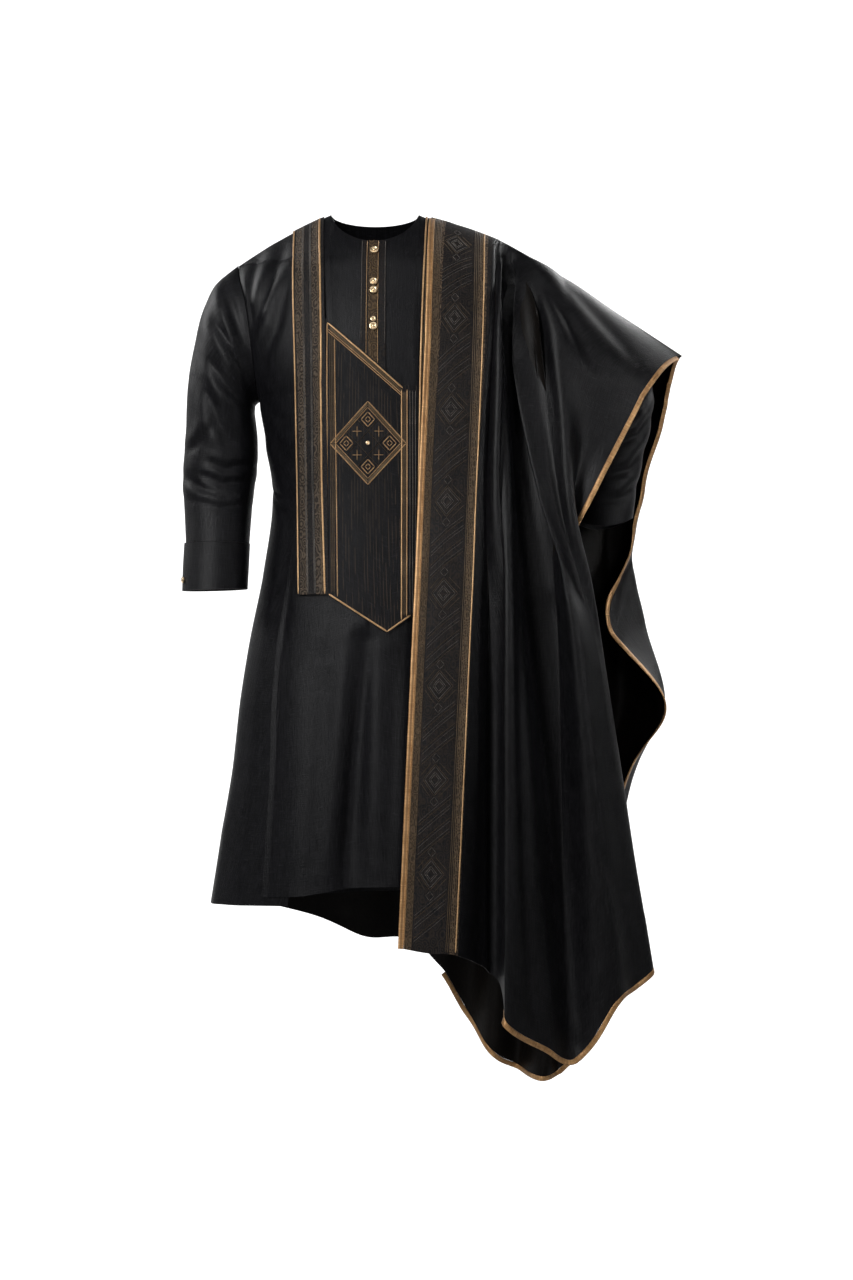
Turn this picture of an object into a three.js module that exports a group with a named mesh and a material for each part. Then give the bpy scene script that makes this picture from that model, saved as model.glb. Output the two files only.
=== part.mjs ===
// An agbada: an open embroidered robe, worn thrown over one arm, on the collarless tunic it is worn with.
// The origin lies midway between the shoulder points of the neck. x runs to the wearer's left,
// y to the back and z up, all in millimetres.
import * as THREE from "three";

// Cloth
const clothWall = 1.4;
const stripWall = 1.2;
const bindingWall = 2;
const bindingWidth = 8;
const bindingGap = 0.45;
const seamGap = 0.3;
const seamReach = 3;

// Tunic
const neckHalfWidth = 67;
const neckDepthFront = 56;
const neckDepthBack = 14;
const shoulderY = 6;
const shoulderRounding = 95;
const armholeTop = -80;
const armholeDepth = 210;
const armholeHalfDepth = 62;
const armholeBend = 62;
const ventTop = -400;
const ventOverlap = 12;
const ventInset = 3.6;
const rowSpread = 1.5;
const seamAngle = 0.1;

// Pieces laid on the tunic front: how far each stands off the cloth below it
const placketLift = 0.7;
const chestPanelLift = 2.8;
const stripLiftAtShoulder = 0.9;
const stripLift = 4.6;
const stripHem = -591;
const chestPanelMargin = 71;
const placketLeft = -18;
const placketRight = 19;
const placketEnd = -262;

// Robe
const ridgeStart = 85;
const neckStand = 1.5;
const domeShare = 0.24;

// Buttons
const buttonRadius = 6.6;
const buttonHeight = 4;

// Tunic body, one row for each level: half width, middle, and depth at centre front and centre back
const tunicSections = [
  { z: 0, side: 213, middle: 0, front: -40, back: 50 },
  { z: -56, side: 213, middle: 0, front: -64, back: 72 },
  { z: -100, side: 207, middle: 0, front: -84, back: 86 },
  { z: -150, side: 194, middle: 0, front: -102, back: 98 },
  { z: -200, side: 187, middle: 0, front: -113, back: 104 },
  { z: -250, side: 182, middle: 0, front: -118, back: 105 },
  { z: -290, side: 179, middle: 1, front: -118, back: 102 },
  { z: -345, side: 171, middle: 2, front: -117, back: 96 },
  { z: -442, side: 162, middle: 4, front: -115, back: 86 },
  { z: -565, side: 176, middle: 2, front: -122, back: 110 },
  { z: -657, side: 192, middle: -1, front: -128, back: 120 },
  { z: -750, side: 204, middle: -4, front: -134, back: 126 },
  { z: -858, side: 212, middle: -8, front: -141, back: 131 },
  { z: -950, side: 225, middle: -11, front: -146, back: 134 },
  { z: -1072, side: 241, middle: -14, front: -151, back: 138 },
];

// Heights of the hem from one side of a panel to the other, evenly spaced
const frontHem = [-1037, -1031, -1021, -1016, -1017, -1020, -1026, -1034, -1042];
const backHem = [-1044, -1052, -1060, -1066, -1068, -1066, -1060, -1054, -1047];

// Soft flutes of the skirt: the angle round the body, half width and depth at the hem
const frontFlutes = [
  { angle: -22, spread: 9, depth: 9 },
  { angle: -3, spread: 6, depth: -9 },
  { angle: 12, spread: 8, depth: 8 },
  { angle: 52, spread: 12, depth: 9 },
];
const backFlutes = [
  { angle: 120, spread: 9, depth: 9 },
  { angle: 150, spread: 9, depth: -9 },
  { angle: 178, spread: 10, depth: 10 },
  { angle: 212, spread: 9, depth: -10 },
  { angle: 238, spread: 9, depth: 10 },
  { angle: 282, spread: 10, depth: 9 },
];

// Sleeves, one row for each section: its outer and inner edge seen from the front, then its depth
const rightSleeveSections = [
  { outerX: -213, outerZ: -80, innerX: -181, innerZ: -290, y: 8, halfDepth: 62 },
  { outerX: -244, outerZ: -108, innerX: -185, innerZ: -295, y: 8, halfDepth: 66 },
  { outerX: -263, outerZ: -145, innerX: -186, innerZ: -302, y: 8, halfDepth: 66 },
  { outerX: -277, outerZ: -192, innerX: -186, innerZ: -312, y: 9, halfDepth: 64 },
  { outerX: -285, outerZ: -245, innerX: -184, innerZ: -326, y: 9, halfDepth: 61 },
  { outerX: -290, outerZ: -296, innerX: -182, innerZ: -345, y: 10, halfDepth: 58 },
  { outerX: -293, outerZ: -346, innerX: -182, innerZ: -374, y: 12, halfDepth: 56 },
  { outerX: -297, outerZ: -394, innerX: -184, innerZ: -403, y: 13, halfDepth: 55 },
  { outerX: -296, outerZ: -430, innerX: -188, innerZ: -431, y: 11, halfDepth: 53 },
  { outerX: -293, outerZ: -470, innerX: -191, innerZ: -469, y: 4, halfDepth: 51 },
  { outerX: -290, outerZ: -509, innerX: -193, innerZ: -509, y: -6, halfDepth: 49 },
];
const leftSleeveSections = [
  { outerX: 213, outerZ: -80, innerX: 181, innerZ: -290, y: 8, halfDepth: 62 },
  { outerX: 242, outerZ: -102, innerX: 200, innerZ: -289, y: 8, halfDepth: 62 },
  { outerX: 280, outerZ: -127, innerX: 232, innerZ: -284, y: 8, halfDepth: 58 },
  { outerX: 322, outerZ: -156, innerX: 266, innerZ: -282, y: 9, halfDepth: 54 },
  { outerX: 364, outerZ: -188, innerX: 298, innerZ: -287, y: 11, halfDepth: 51 },
  { outerX: 402, outerZ: -222, innerX: 321, innerZ: -299, y: 14, halfDepth: 49 },
  { outerX: 430, outerZ: -266, innerX: 332, innerZ: -318, y: 17, halfDepth: 48 },
  { outerX: 429, outerZ: -318, innerX: 333, innerZ: -348, y: 20, halfDepth: 47 },
  { outerX: 418, outerZ: -368, innerX: 326, innerZ: -386, y: 23, halfDepth: 46 },
  { outerX: 407, outerZ: -420, innerX: 315, innerZ: -430, y: 25, halfDepth: 45 },
  { outerX: 400, outerZ: -468, innerX: 309, innerZ: -472, y: 26, halfDepth: 45 },
];
const rightCuffSections = [
  { outerX: -291, outerZ: -509.6, innerX: -192, innerZ: -509.6, y: -6, halfDepth: 50 },
  { outerX: -292, outerZ: -546, innerX: -193, innerZ: -546, y: -14, halfDepth: 50 },
  { outerX: -292, outerZ: -583, innerX: -194, innerZ: -580, y: -22, halfDepth: 50 },
];

// Strips on the tunic front, one row for each level: how far in and out they reach from the middle
const stripSections = [
  { z: 0, inner: 78, outer: 126 },
  { z: -250, inner: 68, outer: 115 },
  { z: -600, inner: 63, outer: 109 },
];

// Top line of the robe over the raised arm
const ridgeLine = [
  { x: 85, z: -4 },
  { x: 125, z: -16 },
  { x: 185, z: -37 },
  { x: 235, z: -64 },
  { x: 285, z: -95 },
  { x: 380, z: -157 },
  { x: 474, z: -219 },
];

// Front of the robe, one row for each fold: where it leaves the ridge, then [x, y] at the chest,
// waist and hip, and [x, y, z] at the hem. drop says how far its levels sink towards the open edge.
const frontLevels = { chest: [-215, -288], waist: [-440, -491], turning: [-570, -592], hip: [-700, -716] };
const frontFolds = [
  {
    fold: "bandInner", ridge: 93, drop: 0, chest: [85, -119],
    waist: [75, -122], turning: [70, -132], hip: [64, -146], hem: [46, -168, -1103],
  },
  {
    fold: "bandMiddle", ridge: 139, drop: 0, chest: [124, -114],
    waist: [111, -124], turning: [106, -134], hip: [100, -147], hem: [82, -170, -1109],
  },
  {
    fold: "bandOuter", ridge: 185, drop: 0, chest: [170, -100],
    waist: [154, -116], turning: [149, -126], hip: [143, -138], hem: [125, -163, -1114],
  },
  {
    fold: "besideBand", ridge: 190, drop: 0.02, chest: [179, -89],
    waist: [168, -97], turning: [168, -100], hip: [170, -104], hem: [173, -111, -1150],
  },
  {
    fold: "firstCrest", ridge: 196, drop: 0.05, chest: [189, -100],
    waist: [188, -124], turning: [192, -138], hip: [195, -149], hem: [193, -168, -1206],
  },
  {
    fold: "firstTrough", ridge: 205, drop: 0.1, chest: [212, -86],
    waist: [223, -98], turning: [232, -104], hip: [242, -112], hem: [256, -128, -1254],
  },
  {
    fold: "middleSlope", ridge: 212, drop: 0.14, chest: [219, -90],
    waist: [238, -108], turning: [254, -114], hip: [270, -116], hem: [303, -118, -1274],
  },
  {
    fold: "secondCrest", ridge: 220, drop: 0.18, chest: [226, -98],
    waist: [258, -122], turning: [283, -124], hip: [306, -124], hem: [356, -112, -1193],
  },
  {
    fold: "secondTrough", ridge: 234, drop: 0.28, chest: [246, -84],
    waist: [276, -98], turning: [304, -98], hip: [330, -92], hem: [390, -84, -1172],
  },
  {
    fold: "thirdCrest", ridge: 260, drop: 0.45, chest: [281, -92],
    waist: [294, -104], turning: [321, -92], hip: [346, -70], hem: [420, -60, -1151],
  },
  {
    fold: "behindCrest", ridge: 352, drop: 0.75, chest: [340, -80],
    waist: [288, -66], turning: [302, -46], hip: [322, -10], hem: [396, -2, -1153],
  },
  {
    fold: "openEdge", ridge: 474, drop: 1, chest: [401, -62],
    waist: [303, -84], turning: [318, -54], hip: [338, -18], hem: [412, -10, -1158],
  },
];

// Back of the robe, laid out in the same way from the open sleeve edge to the wearer's right
const backLevels = {
  blade: [-290, -260],
  waist: [-508, -480],
  seat: [-628, -628],
  swing: [-758, -745],
  thigh: [-905, -905],
};
const backFolds = [
  {
    fold: "openEdge", ridge: 474, drop: 0, blade: [460, 60], waist: [407, 75],
    seat: [370, 48], swing: [457, 62], thigh: [390, 62], hem: [338, 50, -1290],
  },
  {
    fold: "turn", ridge: 462, drop: 0.05, blade: [450, 76], waist: [411, 94],
    seat: [427, 92], swing: [452, 84], thigh: [398, 86], hem: [330, 78, -1302],
  },
  {
    fold: "firstCrest", ridge: 420, drop: 0.2, blade: [402, 92], waist: [372, 112],
    seat: [388, 122], swing: [396, 124], thigh: [362, 122], hem: [292, 108, -1345],
  },
  {
    fold: "firstTrough", ridge: 372, drop: 0.3, blade: [352, 88], waist: [326, 92],
    seat: [332, 98], swing: [338, 98], thigh: [314, 98], hem: [262, 88, -1352],
  },
  {
    fold: "secondCrest", ridge: 318, drop: 0.4, blade: [304, 103], waist: [281, 120],
    seat: [280, 132], swing: [282, 140], thigh: [268, 146], hem: [228, 150, -1348],
  },
  {
    fold: "secondTrough", ridge: 260, drop: 0.5, blade: [252, 94], waist: [233, 98],
    seat: [232, 112], swing: [228, 118], thigh: [218, 126], hem: [188, 130, -1322],
  },
  {
    fold: "thirdCrest", ridge: 200, drop: 0.6, blade: [198, 112], waist: [186, 120],
    seat: [182, 138], swing: [178, 150], thigh: [170, 164], hem: [148, 174, -1268],
  },
  {
    fold: "thirdTrough", ridge: 140, drop: 0.7, blade: [142, 106], waist: [134, 104],
    seat: [130, 128], swing: [126, 140], thigh: [118, 150], hem: [102, 160, -1212],
  },
  {
    fold: "neckLeft", ridge: 86, drop: 0.8, blade: [88, 120], waist: [82, 116],
    seat: [78, 148], swing: [72, 162], thigh: [62, 172], hem: [48, 184, -1166],
  },
  {
    fold: "neckBack", ridge: 3, drop: 0.9, blade: [2, 116], waist: [0, 103],
    seat: [-6, 138], swing: [-9, 150], thigh: [-14, 158], hem: [-22, 168, -1143],
  },
  {
    fold: "neckRight", ridge: -78, drop: 1, blade: [-76, 114], waist: [-72, 108],
    seat: [-78, 140], swing: [-84, 154], thigh: [-90, 166], hem: [-98, 174, -1112],
  },
  {
    fold: "rightEdge", ridge: -126, drop: 1, blade: [-138, 106], waist: [-134, 90],
    seat: [-150, 108], swing: [-162, 120], thigh: [-176, 132], hem: [-188, 142, -1082],
  },
];

// Small sums
const degrees = (angle) => (angle * Math.PI) / 180;
const lerp = (a, b, share) => a + (b - a) * share;
const clamp = (value, low, high) => Math.min(high, Math.max(low, value));
function smoothStep(from, to, value) {
  const share = clamp((value - from) / (to - from), 0, 1);
  return share * share * (3 - 2 * share);
}

// One value of a smooth curve through evenly spaced values
function curveThrough(values, place) {
  const last = values.length - 1;
  const start = clamp(Math.floor(place), 0, last - 1);
  const share = place - start;
  const a = values[start];
  const b = values[start + 1];
  const slopeA = start > 0 ? (b - values[start - 1]) / 2 : b - a;
  const slopeB = start + 2 <= last ? (values[start + 2] - a) / 2 : b - a;
  const square = share * share;
  const cube = square * share;
  return (
    (2 * cube - 3 * square + 1) * a +
    (cube - 2 * square + share) * slopeA +
    (3 * square - 2 * cube) * b +
    (cube - square) * slopeB
  );
}

// A place in the rows of a table whose key column rises or falls steadily
function placeInTable(table, key, at) {
  const rising = table[table.length - 1][key] > table[0][key];
  for (let row = 0; row < table.length - 1; row++) {
    const a = table[row][key];
    const b = table[row + 1][key];
    const inside = rising ? at <= b : at >= b;
    if (inside) return row + clamp((at - a) / (b - a), 0, 1);
  }
  return table.length - 1;
}

// A column of a table at a value of its key column
function readTable(table, key, column, at) {
  const values = table.map((row) => row[column]);
  return curveThrough(values, placeInTable(table, key, at));
}

// The normal of a grid of points at one of them, facing out
function gridNormal(grid, row, column, closed) {
  const columns = grid[0].length;
  const wrap = (at) => (closed ? (at + columns) % columns : clamp(at, 0, columns - 1));
  const up = grid[Math.max(row - 1, 0)][column];
  const down = grid[Math.min(row + 1, grid.length - 1)][column];
  const left = grid[row][wrap(column - 1)];
  const right = grid[row][wrap(column + 1)];
  const along = down.clone().sub(up);
  const across = right.clone().sub(left);
  return along.cross(across).normalize();
}

// All the normals of a grid
function gridNormals(grid, closed = false) {
  return grid.map((line, row) => line.map((_, column) => gridNormal(grid, row, column, closed)));
}

// A closed cloth wall: its outer face runs through a grid of points, its inner face lies behind.
// seamSide is -1 on a front piece and 1 on a back piece, whose walls stop at the seam between them.
function clothGeometry(grid, wall, { closed = false, seamSide = 0, normals = gridNormals(grid, closed) } = {}) {
  const rows = grid.length;
  const columns = grid[0].length;
  const inner = grid.map((line, row) =>
    line.map((point, column) => {
      const behind = point.clone().addScaledVector(normals[row][column], -wall);
      const atSeam = seamSide !== 0 && Math.abs(point.y - shoulderY) < seamReach;
      if (atSeam) behind.y = seamSide * Math.max(seamSide * behind.y, seamSide * point.y);
      return behind;
    }),
  );
  const points = [...grid.flat(), ...inner.flat()];
  const outerAt = (row, column) => row * columns + (column % columns);
  const innerAt = (row, column) => rows * columns + outerAt(row, column);
  const triangles = [];
  const addQuad = (a, b, c, d) => triangles.push(a, b, c, a, c, d);
  const cells = closed ? columns : columns - 1;
  for (let column = 0; column < cells; column++) {
    for (let row = 0; row < rows - 1; row++) {
      const corners = [
        [row, column],
        [row + 1, column],
        [row + 1, column + 1],
        [row, column + 1],
      ];
      addQuad(...corners.map(([r, c]) => outerAt(r, c)));
      addQuad(...corners.reverse().map(([r, c]) => innerAt(r, c)));
    }
    const end = rows - 1;
    addQuad(outerAt(0, column), outerAt(0, column + 1), innerAt(0, column + 1), innerAt(0, column));
    addQuad(outerAt(end, column + 1), outerAt(end, column), innerAt(end, column), innerAt(end, column + 1));
  }
  for (let row = 0; row < rows - 1 && !closed; row++) {
    const end = columns - 1;
    addQuad(outerAt(row + 1, 0), outerAt(row, 0), innerAt(row, 0), innerAt(row + 1, 0));
    addQuad(outerAt(row, end), outerAt(row + 1, end), innerAt(row + 1, end), innerAt(row, end));
  }
  const geometry = new THREE.BufferGeometry();
  geometry.setAttribute("position", new THREE.Float32BufferAttribute(points.flatMap((p) => p.toArray()), 3));
  geometry.setIndex(triangles);
  geometry.computeVertexNormals();
  return geometry;
}

// A grid of points from a function of two shares
function gridOf(rowPlaces, columnPlaces, pointAt) {
  return rowPlaces.map((row) => columnPlaces.map((column) => pointAt(column, row)));
}

// Even places from one value to another
function places(from, to, steps) {
  return Array.from({ length: steps + 1 }, (_, index) => lerp(from, to, index / steps));
}

// The height of the shoulder and neck line of the tunic at a distance from the middle
function shoulderHeight(x) {
  const beyondNeck = Math.max(Math.abs(x) - neckHalfWidth, 0);
  return -2 - 0.42 * beyondNeck - 0.0009 * beyondNeck * beyondNeck;
}
function topHeight(x, neckDepth) {
  if (Math.abs(x) >= neckHalfWidth) return shoulderHeight(x);
  const across = x / neckHalfWidth;
  return -2 - (neckDepth - 2) * Math.pow(1 - across * across, 0.6);
}

// How far the flutes push the skirt out at an angle and height
function fluteDepth(flutes, angle, z) {
  const fall = smoothStep(-560, -1000, z);
  return flutes.reduce((sum, flute) => {
    const away = (angle - flute.angle) / flute.spread;
    return sum + flute.depth * Math.exp(-away * away) * fall;
  }, 0);
}

// A point of the tunic body: the angle is 0 at the front, 90 at the wearer's left and 180 behind
function tunicBody(angle, z, inset = 0) {
  const level = (column) => readTable(tunicSections, "z", column, z);
  const side = level("side") - inset;
  const middle = level("middle");
  const behind = angle > 90 && angle < 270;
  const turned = behind ? 180 - angle : angle;
  const depth = behind ? level("back") - inset : level("front") + inset;
  const armholeMiddle = armholeTop - armholeDepth / 2;
  const inArmhole = clamp((z - armholeMiddle) / (armholeDepth / 2), -1, 1);
  const armholeBow = Math.sqrt(1 - inArmhole * inArmhole);
  const bend = z > armholeMiddle ? armholeBend : lerp(90, armholeBend, armholeBow);
  const edgeDepth = 8 + (behind ? 1 : -1) * armholeHalfDepth * armholeBow;
  const edgeY = z < armholeTop - armholeDepth || z > armholeTop ? 8 : edgeDepth;
  const share = turned / 90;
  const swing = degrees(Math.abs(share) > 1 ? turned : share * bend);
  const stop = degrees(bend);
  const x = middle + (side * Math.sin(swing)) / Math.sin(stop);
  const bow = (Math.cos(swing) - Math.cos(stop)) / (1 - Math.cos(stop));
  const flutes = behind || Math.abs(angle) > 90 ? backFlutes : frontFlutes;
  const flute = fluteDepth(flutes, angle, z) * (behind ? 1 : -1);
  const flatY = lerp(edgeY, depth, bow) + flute;
  const below = clamp((shoulderHeight(x) - z) / shoulderRounding, 0, 1);
  const rounding = Math.sqrt(1 - (1 - below) * (1 - below));
  return new THREE.Vector3(x, lerp(shoulderY, flatY, rounding), z);
}

// The angle where the front panel ends on the wearer's right, and where the back panel ends under it
function frontEdgeAngle(z) {
  return lerp(-90, -48, smoothStep(ventTop, ventTop - 90, z)) + 8 * smoothStep(-620, -1050, z);
}
function backEdgeAngle(z) {
  return 360 + frontEdgeAngle(z) + ventOverlap * smoothStep(ventTop - 32, ventTop - 120, z);
}

// The top of a column of the tunic, found by following the column down from the shoulder
function columnTop(angle, neckDepth) {
  let z = 0;
  for (let turn = 0; turn < 8; turn++) z = topHeight(tunicBody(angle, z).x, neckDepth);
  const atArmhole = angle === -90 || angle === 90 || angle === 270;
  return atArmhole ? armholeTop : z;
}

// Tunic panels. across runs from 0 to 1 over the panel, down from 0 to 1 from top to hem.
function tunicFrontPoint(across, down) {
  const topAngle = lerp(-90, 90, across);
  const top = columnTop(topAngle, neckDepthFront);
  const hem = curveThrough(frontHem, across * (frontHem.length - 1));
  const z = lerp(top, hem, Math.pow(down, rowSpread));
  const angle = lerp(frontEdgeAngle(z) + seamAngle, 90 - seamAngle, across);
  const point = tunicBody(angle, z);
  point.y -= (seamGap / 2) * (1 - smoothStep(0, 0.02, down));
  return point;
}
function tunicBackPoint(across, down) {
  const topAngle = lerp(90, 270, across);
  const top = columnTop(topAngle, neckDepthBack);
  const hem = curveThrough(backHem, across * (backHem.length - 1));
  const z = lerp(top, hem, Math.pow(down, rowSpread));
  const angle = lerp(90 + seamAngle, backEdgeAngle(z) - seamAngle, across);
  const edge = 360 + frontEdgeAngle(z);
  const tucked = smoothStep(edge - 14, edge - 3, angle) * smoothStep(ventTop + 95, ventTop + 25, z);
  const inset = ventInset * tucked;
  const point = angle > 270 ? tunicBody(angle - 360, z, inset) : tunicBody(angle, z, inset);
  point.y += (seamGap / 2) * (1 - smoothStep(0, 0.02, down));
  return point;
}

// A point on the tunic at a distance from the middle, moved out from the cloth
function tunicAt(x, z, lift, behind = false) {
  let low = behind ? 180 : 0;
  let high = behind ? (x > 0 ? 90 : 270) : x > 0 ? 90 : -90;
  const middleX = tunicBody(low, z).x;
  const wanted = Math.abs(x - middleX);
  for (let turn = 0; turn < 22; turn++) {
    const tried = (low + high) / 2;
    if (Math.abs(tunicBody(tried, z).x - middleX) < wanted) low = tried;
    else high = tried;
  }
  const angle = (low + high) / 2;
  const point = tunicBody(angle, z);
  const sideways = tunicBody(angle + 0.5, z).sub(tunicBody(angle - 0.5, z));
  const downwards = tunicBody(angle, z - 1).sub(tunicBody(angle, z + 0.2));
  return point.addScaledVector(downwards.cross(sideways).normalize(), lift);
}

// A sleeve ring: 0 at its outer edge, a quarter turn at the front
function sleeveRing(sections, row, turn) {
  const at = (column) => curveThrough(sections.map((section) => section[column]), row);
  const swing = turn * 2 * Math.PI;
  const cosine = Math.cos(swing);
  return new THREE.Vector3(
    lerp(at("innerX"), at("outerX"), (1 + cosine) / 2),
    at("y") - at("halfDepth") * Math.sin(swing),
    lerp(at("innerZ"), at("outerZ"), (1 + cosine) / 2),
  );
}

// The armhole edge of the tunic panels, at the same turns as a sleeve ring
function armholePoint(sideSign, turn) {
  const swing = turn * 2 * Math.PI;
  const z = armholeTop - (armholeDepth / 2) * (1 - Math.cos(swing));
  const atFront = Math.sin(swing) >= 0;
  const angle = atFront ? 90 * sideSign : sideSign > 0 ? 90.001 : 269.999;
  const point = tunicBody(angle, z);
  point.x += sideSign * seamGap * 2.4;
  return point;
}

// Upper sleeve: the first ring is the armhole, the others follow the sections
function sleevePoint(sections, sideSign, row, turn) {
  const ring = sleeveRing(sections, row, turn);
  const leave = smoothStep(0, 1.2, row);
  return armholePoint(sideSign, turn).lerp(ring, leave);
}

// The ring's turns run so that the outer face looks out on either side
const ringTurns = (sideSign, count) =>
  Array.from({ length: count }, (_, index) => (sideSign < 0 ? index : count - index) / count);

function sleeveGrid(sections, sideSign, rowPlaces, count) {
  const pointAt = (turn, row) => sleevePoint(sections, sideSign, row, turn);
  return gridOf(rowPlaces, ringTurns(sideSign, count), pointAt);
}
function cuffGrid(sections, sideSign, rowPlaces, count) {
  return gridOf(rowPlaces, ringTurns(sideSign, count), (turn, row) => sleeveRing(sections, row, turn));
}

// A column of the robe leaves the top line level, rounds over the arm and then hangs
function hangingPoint(top, hanging, down, roundingPower) {
  const first = hanging[0];
  if (down < domeShare) {
    const swing = (down / domeShare) * (Math.PI / 2);
    const out = Math.pow(Math.sin(swing), roundingPower);
    return new THREE.Vector3(
      lerp(top.x, first.x, down / domeShare),
      lerp(top.y, first.y, out),
      lerp(top.z, first.z, 1 - Math.cos(swing)),
    );
  }
  const place = ((down - domeShare) / (1 - domeShare)) * (hanging.length - 1);
  const at = (axis) => curveThrough(hanging.map((control) => control[axis]), place);
  return new THREE.Vector3(at("x"), at("y"), at("z"));
}

// The points that one fold hangs through, from the level below the ridge to the hem
function foldControls(fold, levels) {
  const hanging = Object.entries(levels).map(([level, [first, last]]) => {
    const [x, y] = fold[level];
    return new THREE.Vector3(x, y, lerp(first, last, fold.drop));
  });
  return [...hanging, new THREE.Vector3(...fold.hem)];
}
const ridgePoint = (x, side) =>
  new THREE.Vector3(x, shoulderY + side * seamGap * 0.7, readTable(ridgeLine, "x", "z", x));

// The back of the robe starts on the ridge, round the back of the neck or on the right shoulder
function backTop(x) {
  if (x > ridgeStart) return ridgePoint(x, 1);
  const half = (ridgeStart + stripSections[0].inner) / 2;
  const across = clamp((x - (ridgeStart - half)) / half, -1, 1);
  const neckDrop = 26 * Math.pow(1 - across * across, 0.6);
  const lift = stripLiftAtShoulder + stripWall + neckStand;
  const shoulder = tunicAt(x, Math.min(shoulderHeight(x) - 0.01, -8 - neckDrop), lift, true);
  shoulder.y = Math.max(shoulder.y, shoulderY + seamGap * 0.7);
  return shoulder;
}
// A sheet hung in folds: across counts the folds, down runs from 0 at the top line to 1 at the hem
function foldedSheet(folds, levels, topAt, roundingPower) {
  const ridges = folds.map((fold) => fold.ridge);
  const controls = folds.map((fold) => foldControls(fold, levels));
  const columnAt = (across) =>
    controls[0].map((_, level) => {
      const at = (axis) => curveThrough(controls.map((points) => points[level][axis]), across);
      return new THREE.Vector3(at("x"), at("y"), at("z"));
    });
  return (across, down) => {
    const top = topAt(curveThrough(ridges, across));
    return hangingPoint(top, columnAt(across), down, roundingPower);
  };
}
const robeFrontPoint = foldedSheet(frontFolds, frontLevels, (x) => ridgePoint(x, -1), 1.45);
const robeBackPoint = foldedSheet(backFolds, backLevels, backTop, 1);

// Rows of the robe: close together over the arm, wider where it hangs
const robeRows = [...places(0, domeShare, 6), ...places(domeShare, 1, 15).slice(1)];

// A strip joined edge to edge to one side of a grid
function edgeGrid(grid, side, from, to, width) {
  const last = grid[0].length - 1;
  const end = grid.length - 1;
  const alongRows = side === "left" || side === "right";
  const edgeAt = {
    left: (at) => [grid[at][0], grid[at][1]],
    right: (at) => [grid[at][last], grid[at][last - 1]],
    bottom: (at) => [grid[end][at], grid[end - 1][at]],
  }[side];
  const cellAt = {
    left: (at) => [at, 0],
    right: (at) => [at, last],
    bottom: (at) => [end, at],
  }[side];
  const lines = [];
  for (let at = from; at <= to; at++) {
    const [edge, inside] = edgeAt(at);
    const before = edgeAt(Math.max(at - 1, from))[0];
    const after = edgeAt(Math.min(at + 1, to))[0];
    const tangent = after.clone().sub(before).normalize();
    const outward = edge.clone().sub(inside);
    outward.addScaledVector(tangent, -outward.dot(tangent)).normalize();
    const [row, column] = cellAt(at);
    const raise = gridNormal(grid, row, column, false).multiplyScalar((bindingWall - clothWall) / 2);
    const near = edge.clone().addScaledVector(outward, bindingGap).add(raise);
    const far = edge.clone().addScaledVector(outward, bindingGap + width).add(raise);
    lines.push([near, far]);
  }
  if (side === "left") return lines.map(([near, far]) => [far, near]);
  if (alongRows) return lines;
  return [lines.map(([near]) => near), lines.map(([, far]) => far)];
}

// Columns of the robe's panels, closer together round the neck
const bandColumns = 4;
const frontColumns = [...places(0, 2, bandColumns), ...places(2, 11, 27).slice(1)];
const backColumns = [...places(0, 8, 21), ...places(8, 10, 8).slice(1), 10.5, 11];
const frontGrid = gridOf(robeRows, frontColumns, robeFrontPoint);
const frontNormals = gridNormals(frontGrid);
const backGrid = gridOf(robeRows, backColumns, robeBackPoint);

// The front is cut at the band's outer edge, where the two panels are sewn together
function cutColumns(grid, from, to, shift = 0) {
  return grid.map((line) => {
    const kept = line.slice(from, to + 1).map((point) => point.clone());
    const seam = shift < 0 ? kept.length - 1 : 0;
    const across = kept[1].clone().sub(kept[0]).normalize();
    kept[seam].addScaledVector(across, shift);
    return kept;
  });
}
const lastFrontColumn = frontColumns.length - 1;
const bandGrid = cutColumns(frontGrid, 0, bandColumns, -seamGap / 2);
const bandNormals = cutColumns(frontNormals, 0, bandColumns);
const capeGrid = cutColumns(frontGrid, bandColumns, lastFrontColumn, seamGap / 2);
const capeNormals = cutColumns(frontNormals, bandColumns, lastFrontColumn);

// Grids of the tunic's panels
const tunicFrontGrid = gridOf(places(0, 1, 22), places(0, 1, 20), tunicFrontPoint);
const tunicBackGrid = gridOf(places(0, 1, 20), places(0, 1, 22), tunicBackPoint);

// A strip down the tunic front, on the wearer's right with a sign of -1 and on the left with 1
function stripGrid(sideSign) {
  const rowPlaces = places(0, 1, 18).map((share) => Math.pow(share, 1.5));
  return gridOf(rowPlaces, places(0, 1, 3), (across, down) => {
    const leftSide = sideSign > 0 ? "inner" : "outer";
    const rightSide = sideSign > 0 ? "outer" : "inner";
    const reachAt = (z) => {
      const left = sideSign * readTable(stripSections, "z", leftSide, z);
      const right = sideSign * readTable(stripSections, "z", rightSide, z);
      return lerp(left, right, across);
    };
    const top = shoulderHeight(reachAt(0));
    const z = lerp(top - 0.01, stripHem, down);
    const lift = lerp(stripLiftAtShoulder, stripLift, smoothStep(-30, -170, z)) + stripWall;
    const point = tunicAt(reachAt(z), z, lift);
    point.y = Math.min(point.y, shoulderY - seamGap * 0.7);
    return point;
  });
}

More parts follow.
